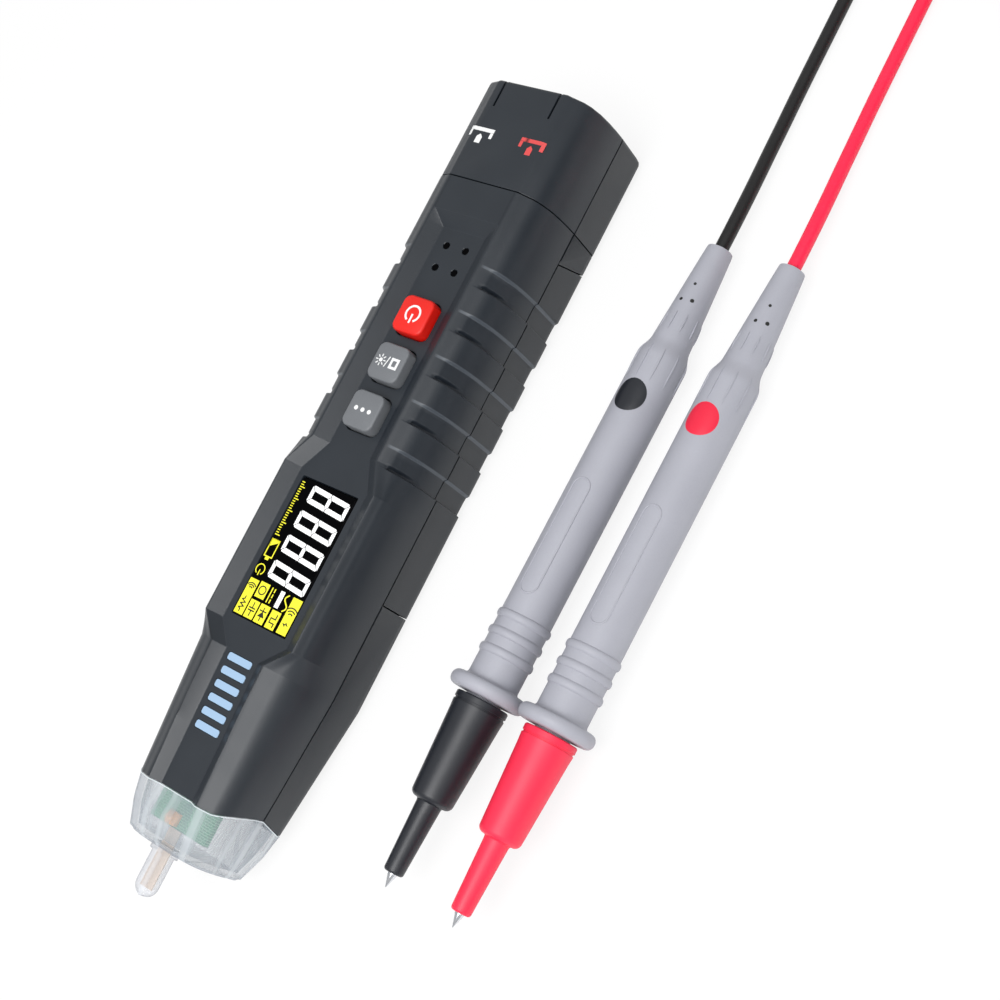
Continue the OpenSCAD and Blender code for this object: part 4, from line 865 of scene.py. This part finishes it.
def handleProfile():
    # from the cord end: tapered neck, shoulder, grip, three half round ribs, guard and bore
    L, p, r = lead, probe, lead["handleR"]
    end = -L["handleL"]
    back, narrow, wide = end - L["reliefL"], end - p["after"], end + p["before"]
    s = np.linspace(back, narrow, 26)
    tail = np.stack([handleRadius(-s), s], 1)
    tail = np.vstack([[(2.95, back), (3.1, back + 0.06)], tail[1:]])
    sh = np.linspace(narrow, wide, 10)[1:]
    u = easeIn((sh - narrow) / (wide - narrow))
    shoulder = np.stack([p["neckR"] + (r - p["neckR"]) * u, sh], 1)
    mid = np.linspace(wide, -20, 14)[1:]
    grip = np.stack([r + 0 * mid, mid], 1)
    rs = np.linspace(-19.6, -5.6, 90)
    rr = r + 0 * rs
    for at in p["ribs"]:
        d = np.clip(np.abs(rs + at) / p["ribHalf"], 0, 1)
        rr = rr + p["ribH"] * np.sqrt(np.maximum(1 - d ** 2, 0))
    ribs = np.stack([rr, rs], 1)
    q = np.radians(np.linspace(0, 80, 8))
    f = p["fillet"]
    neck = np.stack([r + f - f * np.cos(q), -1.7 - f + f * np.sin(q)], 1)
    a = np.radians(np.linspace(-86, 80, 16))
    rim = np.stack([7.6 + 1.4 * np.cos(a), 1.7 * np.sin(a)], 1)
    front = [(6.4, 1.75), (4.2, 1.8), (4.2, 18.7), (1.3, 18.7)]
    return np.vstack([[(0.02, back)], tail, shoulder, grip, ribs, neck, rim, front,
                      [(1.22, 12.0), (0.02, 12.0)]])


def shroudProfile():
    # outside from the guard: band, groove, taper, rounded end and thin tube; then back inside
    p = probe
    s0, s1 = p["shroud"]
    cut, floor = s0 + p["band"], p["shroudR"] - p["grooveD"]
    past = cut + p["groove"]
    out = [(4.28, s0), (5.95, s0), (6.2, s0 + 0.25), (6.2, cut - 0.06), (6.14, cut), (floor, cut),
           (floor, past), (6.1, past), (6.16, past + 0.06)]
    s = np.linspace(past + 0.06, s1 - 1.6, 12)[1:]
    out += list(zip(np.interp(s, [s0, s1 - 1.6], [p["shroudR"], p["noseR"]]), s))
    a = np.radians(np.linspace(0, 90, 9))[1:]
    out += list(zip(p["noseR"] - 1.6 + 1.6 * np.cos(a), s1 - 1.6 + 1.6 * np.sin(a)))
    out += [(3.35, s1), (3.0, s1 + 0.1), (2.9, s1 + 0.4)]
    s = np.linspace(s1 + 0.4, s1 + 16.1, 8)[1:]
    out += list(zip(np.interp(s, [s1, s1 + p["mouth"]], [p["tubeR"], p["mouthR"]]), s))
    a = np.radians(np.linspace(0, 90, 7))[1:]
    out += list(zip(p["mouthR"] - 0.6 + 0.6 * np.cos(a), s1 + 16.1 + 0.6 * np.sin(a)))
    out += [(1.28, s1 + p["mouth"]), (1.28, 19.3), (4.28, 19.3), (4.28, s0)]
    return np.array(out)


def ridge(place, s0, s1, angle, name, material, width=0.5, lift=0.26):
    # a thin raised line along the handle between two places
    s = np.linspace(s0, s1, 18)
    r = handleRadius(s)
    taper = np.sin(np.pi * np.linspace(0.03, 0.97, 18)) ** 0.5
    rings = []
    for off, h in ((-0.5, -0.12), (-0.25, 1.0), (0.25, 1.0), (0.5, -0.12)):
        ang = angle + off * width * taper / r
        rad = r + np.where(h > 0, lift * taper, h)
        rings.append(np.stack([rad * np.sin(ang), s, rad * np.cos(ang)], 1))
    pts = np.array(rings).transpose(1, 0, 2)
    flat = place(pts.reshape(-1, 3)).reshape(pts.shape)
    return loftPiece(name, flat, material)


labelFrame = {"from": 24.85, "to": 48.85, "half": 2.25, "line": 0.2}


def makeLabelFrame(side, place):
    # a raised line round an empty field on the handle: two half circles joined by straight runs
    f, r = labelFrame, lead["handleR"]
    a = np.radians(np.linspace(0, 180, 15))
    across = f["half"] * np.concatenate([np.cos(a), -np.cos(a)]) / r
    along = np.concatenate([f["to"] + f["half"] * np.sin(a), f["from"] - f["half"] * np.sin(a)])
    path = place(np.stack([r * np.sin(across), along, r * np.cos(across)], 1))
    closedTube(side + "LabelFrame", path, f["line"], "grey")


def makeProbe(side, x, shroudLook):
    place = probePlace(x)
    handle = turnedPiece(side + "HandleSkin", handleProfile(), "grey", place, 96,
                         replaced=(side + "_handle",), smooth=35.0)
    shroud = turnedPiece(side + "ShroudSkin", shroudProfile(), shroudLook, place, 80, ring=True,
                         body=side + "_shroud_body", replaced=(side + "_shroud",), smooth=35.0)
    r, end = probe["needleR"], 43.6 + probe["proud"]
    profile = [(0.02, 12.05), (r, 12.05), (r, 43.4), (r - 0.12, 43.9), (0.16, end - 0.15),
               (0.02, end)]
    needle = turnedPiece(side + "NeedleSkin", profile, "tip", place, 48,
                         replaced=(side + "_needle",), smooth=35.0)
    makeLabelFrame(side, place)
    for k, ang in enumerate(probe["ridges"][0]):
        ridge(place, 77.2, 85.6, ang, side + "BodyRidge" + str(k), "grey")
    for k, ang in enumerate(probe["ridges"][1]):
        ridge(place, 90.4, 95.2, ang, side + "NeckRidge" + str(k), "grey")
    turn = 0.0 if side == "black" else probe["redTurn"]
    # each neck dimple is a flat disc of dark ink: painted shade for its hollow
    for k, (s, ang, r) in enumerate(probe["dimples"]):
        dome(place, s, ang + turn, float(handleRadius(s)) + 0.02, r, 0.02,
             side + "NeckDimple" + str(k), "ink")


def dome(place, s, angle, surfaceR, radius, height, name, material):
    # a shallow disc lying on the handle's top: z = height (1 - rho^4)
    rho = np.linspace(0, 1, 7)[1:]
    a = np.linspace(0, 2 * np.pi, 32, endpoint=False)
    xx = (radius * rho[:, None] * np.sin(a)).ravel()
    ss = s + (radius * rho[:, None] * np.cos(a)).ravel()
    rise = np.repeat(height * (1 - rho ** 4), len(a))
    base = surfaceR
    ang = angle + xx / base
    pts = np.stack([(base + rise) * np.sin(ang), ss, (base + rise) * np.cos(ang)], 1)
    top = np.array([[(base + height) * math.sin(angle), s, (base + height) * math.cos(angle)]])
    under = (base - 0.25) * np.stack([np.sin(ang[-32:]), np.cos(ang[-32:])])
    foot = np.stack([under[0], ss[-32:], under[1]], 1)
    verts = place(np.vstack([top, pts, foot]))
    faces = [[0, 1 + k, 1 + (k + 1) % 32] for k in range(32)]
    faces += (gridQuads(7, 32) + 1).tolist()
    faces.append([1 + 6 * 32 + k for k in range(32)])
    return addPiece(name, verts, faces, material)


def makeBadge(side, x, look):
    s, *shape = probe["badge"]
    badge = dome(probePlace(x), s, 0.0, *shape, side + "BadgeSkin", look)
    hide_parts(side + "_badge")


makeProbe("black", lead["blackX"], "black")
makeProbe("red", lead["redX"], "coral")
makeBadge("black", lead["blackX"], "black")
makeBadge("red", lead["redX"], "crimson")
print("probes made")


def plates(name, outlines, material, z, thick=0.04, body=root):
    # flat outlines given a small thickness, each its own closed prism; z may be a rule of x
    verts, faces = [], []
    for line in outlines:
        line = np.asarray(line, float)
        n, base = len(line), len(verts)
        level = z(line[:, 0]) if callable(z) else z
        for lift in (-0.02, thick):
            verts += np.column_stack([line, np.zeros(n) + level + lift]).tolist()
        faces += [[base + n + k for k in range(n)], [base + n - 1 - k for k in range(n)]]
        faces += [[base + k, base + (k + 1) % n, base + n + (k + 1) % n, base + n + k]
                  for k in range(n)]
    return addPiece(name, np.array(verts) * mm, faces, material, body=body, smooth=20.0)


def stroke(points, width):
    # a line of points given a width: one outline, mitred at its bends and a little longer
    p = np.asarray(points, float)
    t = np.diff(p, axis=0)
    t /= np.linalg.norm(t, axis=1, keepdims=True)
    p = np.vstack([p[:1] - t[:1] * width / 4, p[1:-1], p[-1:] + t[-1:] * width / 4])
    side = np.stack([-t[:, 1], t[:, 0]], 1)
    both = np.vstack([side[:1], side]) + np.vstack([side, side[-1:]])
    out = both / (both ** 2).sum(1, keepdims=True) * width
    return [np.vstack([p - out, (p + out)[::-1]])]


def box(x0, x1, y0, y1):
    return [(x0, y0), (x1, y0), (x1, y1), (x0, y1)]


def frameOf(x0, x1, y0, y1, width):
    w = width
    return [box(x0, x1, y0, y0 + w), box(x0, x1, y1 - w, y1), box(x0, x0 + w, y0 + w, y1 - w),
            box(x1 - w, x1, y0 + w, y1 - w)]


def arcLine(cx, cy, r, a0, a1, steps=16):
    a = np.radians(np.linspace(a0, a1, steps))
    return np.stack([cx + r * np.cos(a), cy + r * np.sin(a)], 1)


def disc(cx, cy, r, steps=20):
    return arcLine(cx, cy, r, 0, 360 * (1 - 1 / steps), steps)


def powerSign(cx, cy, r, width):
    # a ring open toward the nose with a bar through the gap
    return (stroke(arcLine(cx, cy, r, -58, 238, 26), width)
            + stroke([(cx, cy - r * 0.1), (cx, cy - r * 1.15)], width))


digit = {"w": 4.3, "h": 12.2, "foot": 7.75, "lean": 1.0, "long": 1.2, "short": 1.0, "gap": 0.12,
         "corner": 0.5, "y": (4.7, 11.15, 17.4, 23.75)}


def digitBars(y0):
    # seven strokes of an eight that is read along the meter: u runs along y, v up is toward -x
    w, h, a, b, g, c = (digit[k] for k in ("w", "h", "long", "short", "gap", "corner"))
    m = h / 2
    lower = [(0, c), (0, m - g), (a / 2, m - g), (a, m - b / 2 - g), (a, b + g),
             (c * 0.6, g + 0.1)]
    upper = [(u, h - v) for u, v in lower]
    mid = [(a / 2 + g, m), (a + g, m + b / 2), (w - a - g, m + b / 2), (w - a / 2 - g, m),
           (w - a - g, m - b / 2), (a + g, m - b / 2)]
    flip = [[(w - u, v) for u, v in part] for part in (lower, upper)]
    foot = [(g + 0.2, 0), (w - g - 0.2, 0), (w - a - g, b), (a + g, b)]
    parts = [lower, upper, *flip, foot, [(u, h - v) for u, v in foot], mid]
    lean = digit["lean"] / h
    return [[(digit["foot"] - v, y0 + u + lean * v) for u, v in part] for part in parts]


# the display's generic signs: yellow plates, a scale of ticks, and the dark lines on the plates
signs = {
    "z": 27.7, "minus": (1.5, 2.75, 0.1, 4.15),
    "plates": ((-8.35, -5.6, -4.75, 3.95), (-5.2, -2.4, -4.75, -0.35), (-5.0, -2.1, 0.4, 4.2),
               (-1.95, 0.95, -4.8, -0.3), (1.7, 4.5, -4.8, -0.45), (5.45, 8.35, -4.7, 4.05)),
    "ticks": 23, "tickY": 15.2, "tickStep": 0.615, "tickX": -8.1, "tickL": (0.85, 1.5),
    "zig": ((-7.0, -4.2), (-7.0, -3.6), (-7.6, -3.3), (-6.4, -2.8), (-7.6, -2.3), (-6.4, -1.8),
            (-7.6, -1.3), (-7.0, -1.0), (-7.0, -0.4)),
    "pulse": ((3.8, -4.3), (3.8, -3.4), (2.4, -3.4), (2.4, -2.3), (3.8, -2.3), (3.8, -1.2)),
    "bolt": ((5.9, -2.2), (6.9, -2.9), (6.8, -2.3), (7.9, -2.6), (6.8, -1.7), (6.9, -2.2)),
}


def waves(cx, cy, radii, a0, a1, width):
    # arcs of growing radius round one point
    return [part for r in radii for part in stroke(arcLine(cx, cy, r, a0, a1, 8), width)]


def makeDisplayMarks():
    g, z = signs, signs["z"]
    whites = [part for y0 in digit["y"] for part in digitBars(y0)] + [box(*g["minus"])]
    plates("displayDigits", whites, "white", z)
    yellow = [box(*sides) for sides in g["plates"]] + stroke([(-1.1, 0.3), (-1.1, 3.9)], 0.3)
    for k in range(3):
        yellow += stroke([(-0.2, 0.4 + k * 1.3), (-0.2, 1.2 + k * 1.3)], 0.3)
    y = np.linspace(0.0, 3.9, 14)
    yellow += stroke(np.stack([4.2 + 0.75 * np.sin(y * 2 * np.pi / 3.9), y], 1), 0.32)
    yellow += powerSign(-7.05, 6.45, 1.25, 0.26)
    yellow += frameOf(-8.15, -5.5, 9.6, 14.1, 0.28) + [box(-7.4, -6.3, 8.9, 9.6)]
    yellow += [[(-8.1, 12.0), (-5.6, 13.6), (-5.6, 14.0), (-8.1, 14.0)]]
    for k in range(g["ticks"]):
        at, x = g["tickY"] + g["tickStep"] * k, g["tickX"]
        yellow += [box(x, x + g["tickL"][k % 5 == 0], at - 0.12, at + 0.12)]
    plates("displaySigns", yellow, "yellow", z)
    dark = waves(-7.0, 1.35, (0.55, 1.05, 1.55), 40, 140, 0.26) + stroke(g["zig"], 0.26)
    for y0, y1 in ((-4.2, -2.95), (-2.15, -0.9)):
        dark += stroke([(-3.8, y0), (-3.8, y1)], 0.26)
    for y0 in (-2.85, -2.25):
        dark += stroke([(-4.7, y0), (-2.9, y0)], 0.3)
    dark += stroke(arcLine(-3.55, 2.3, 1.0, 0, 350, 18), 0.28)
    dark.append([(-1.5, -3.3), (0.5, -3.3), (-0.5, -1.9)])
    dark += stroke([(-1.5, -1.85), (0.5, -1.85)], 0.28)
    for y0, y1 in ((-4.2, -3.3), (-1.9, -1.0)):
        dark += stroke([(-0.5, y0), (-0.5, y1)], 0.26)
    dark += stroke(g["pulse"], 0.28) + [g["bolt"]]
    dark += waves(6.9, -0.6, (0.9, 1.6, 2.3), 50, 130, 0.28)
    plates("displayInk", dark, "ink", z + 0.04)


def endTopAt(x):
    # height of the end cover's face at x: flat between the rims, falling outside them
    s = (meter["half"] - np.abs(x)) / (meter["half"] - 10.2)
    h = np.interp(np.clip(s, 0, 1), sideShares[:, 0], sideShares[:, 1])
    return meter["seam"] + h * (meter["top"] - meter["seam"])


def plugSign(cx, cy):
    # a fork with two short legs over a round-nosed pin
    legs = [box(cx - 3.5, cx - 2.65, cy - 1.55, cy), box(cx + 2.65, cx + 3.5, cy - 1.55, cy)]
    xs = np.linspace(cx - 3.5, cx + 3.5, 9)
    bar = [box(a, b, cy - 0.05, cy + 0.9) for a, b in zip(xs[:-1], xs[1:])]
    pin = [(cx - 0.8, cy - 3.2), (cx + 0.8, cy - 3.2), (cx + 0.8, cy - 1.5), (cx, cy - 0.75),
           (cx - 0.8, cy - 1.5)]
    return legs + bar + [pin]


def makeKeySigns():
    y, z = keys["y"], keys["top"] + 0.03
    plates("powerSign", powerSign(0, y[2] + 0.2, 1.95, 0.52), "printWhite", z, body="power_key")
    cx, cy = -2.1, y[1]
    sun = [disc(cx, cy, 0.5)]
    for a in np.radians(np.arange(0, 360, 45)):
        c, s = math.cos(a), math.sin(a)
        sun += stroke([(cx + 0.85 * c, cy + 0.85 * s), (cx + 1.4 * c, cy + 1.4 * s)], 0.26)
    sun += stroke([(-0.5, cy - 1.3), (0.1, cy + 1.3)], 0.26)
    sun += frameOf(0.75, 3.15, cy - 1.35, cy + 1.35, 0.62)
    plates("holdSign", sun, "printWhite", z, body="hold_key")
    dots = [disc(x, y[0], 0.55) for x in (-2.0, 0, 2.0)]
    plates("functionSign", dots, "printWhite", z, body="function_key")


makeDisplayMarks()
makeKeySigns()
# black discs at the floor of the sound holes: painted shade in the holes
plates("soundHoleShade", [disc(x, y, holes["shadeR"]) for x, y in holePlaces], "glass",
       meter["floor"], thick=0.015)
plates("comSign", plugSign(-7.6, 121.6), "printWhite", endTopAt)
plates("inputSign", plugSign(7.6, 121.6), "printRed", endTopAt)
print("marks made")

studio = {"size": 4.0, "low": -0.0004, "shown": 0.86, "world": 0.64, "dimmest": 0.08,
          "dim": (0.96, 0.13, 0.25), "dimFrom": 0.78, "dimTo": 0.97}
# name: place, size, power; all aim at the middle of the meter
lamps = {"keyLamp": ((0.16, -0.22, 0.8), (0.5, 0.6), 5.4),
         "fillLamp": ((0.5, -0.12, 0.5), (0.5, 0.8), 1.1)}
aim = (0.03, 0.03, 0)


def makeFloor():
    # a pale floor: mostly plain white to the camera, so that only the shadow shows on it
    s, z = studio["size"], studio["low"]
    mesh = bpy.data.meshes.new("studioFloor")
    mesh.from_pydata([(-s, -s, z), (s, -s, z), (s, s, z), (-s, s, z)], [], [[0, 1, 2, 3]])
    f = Finish("studioFloorPaint")
    grain = f.noise(40, 2.0)
    f.set(Base_Color=f.blend(grain * 0.1, (0.9, 0.9, 0.9, 1), (0.88, 0.88, 0.88, 1)),
          Roughness=0.8)
    glow = f.node("ShaderNodeEmission", {}, {"Color": (1, 1, 1, 1), "Strength": 1.0})
    seen = f.node("ShaderNodeLightPath", {}, {}, "Is Camera Ray")
    f.mixed(seen * studio["shown"], glow, "Material Output")
    mesh.materials.append(f.material)
    stand("studioFloor", mesh)


def makeLamp(name, place, size, power):
    data = bpy.data.lights.new(name, "AREA")
    data.shape = "RECTANGLE"
    data.size, data.size_y = size
    data.energy = power
    lamp = stand(name, data)
    lamp.location = place
    lamp.rotation_euler = (Vector(aim) - Vector(place)).to_track_quat("-Z", "Y").to_euler()


def makeWorld():
    # pale all round, with a dim patch low on the probes' side that darkens the fold of the rim
    f = Finish("studioWorld", "worlds", "Background")
    spot = f.node("ShaderNodeTexCoord", {}, {}, "Generated")
    toward = f.node("ShaderNodeVectorMath", {"operation": "DOT_PRODUCT"},
                    {0: spot, 1: studio["dim"]}, "Value")
    fade = f.node("ShaderNodeMapRange", {"interpolation_type": "SMOOTHSTEP"}, {
        "Value": toward, "From Min": studio["dimFrom"], "From Max": studio["dimTo"],
        "To Min": studio["world"], "To Max": studio["dimmest"]})
    f.set(Color=(1, 1, 1, 1), Strength=fade)
    bright = f.node("ShaderNodeBackground", {}, {"Color": (1, 1, 1, 1), "Strength": 1.0})
    f.mixed(f.node("ShaderNodeLightPath", {}, {}, "Is Camera Ray"), bright, "World Output")
    bpy.context.scene.world = f.material


makeFloor()
makeWorld()
for name, settings in lamps.items():
    makeLamp(name, *settings)
bpy.context.scene.view_settings.view_transform = "Standard"
print("studio made")
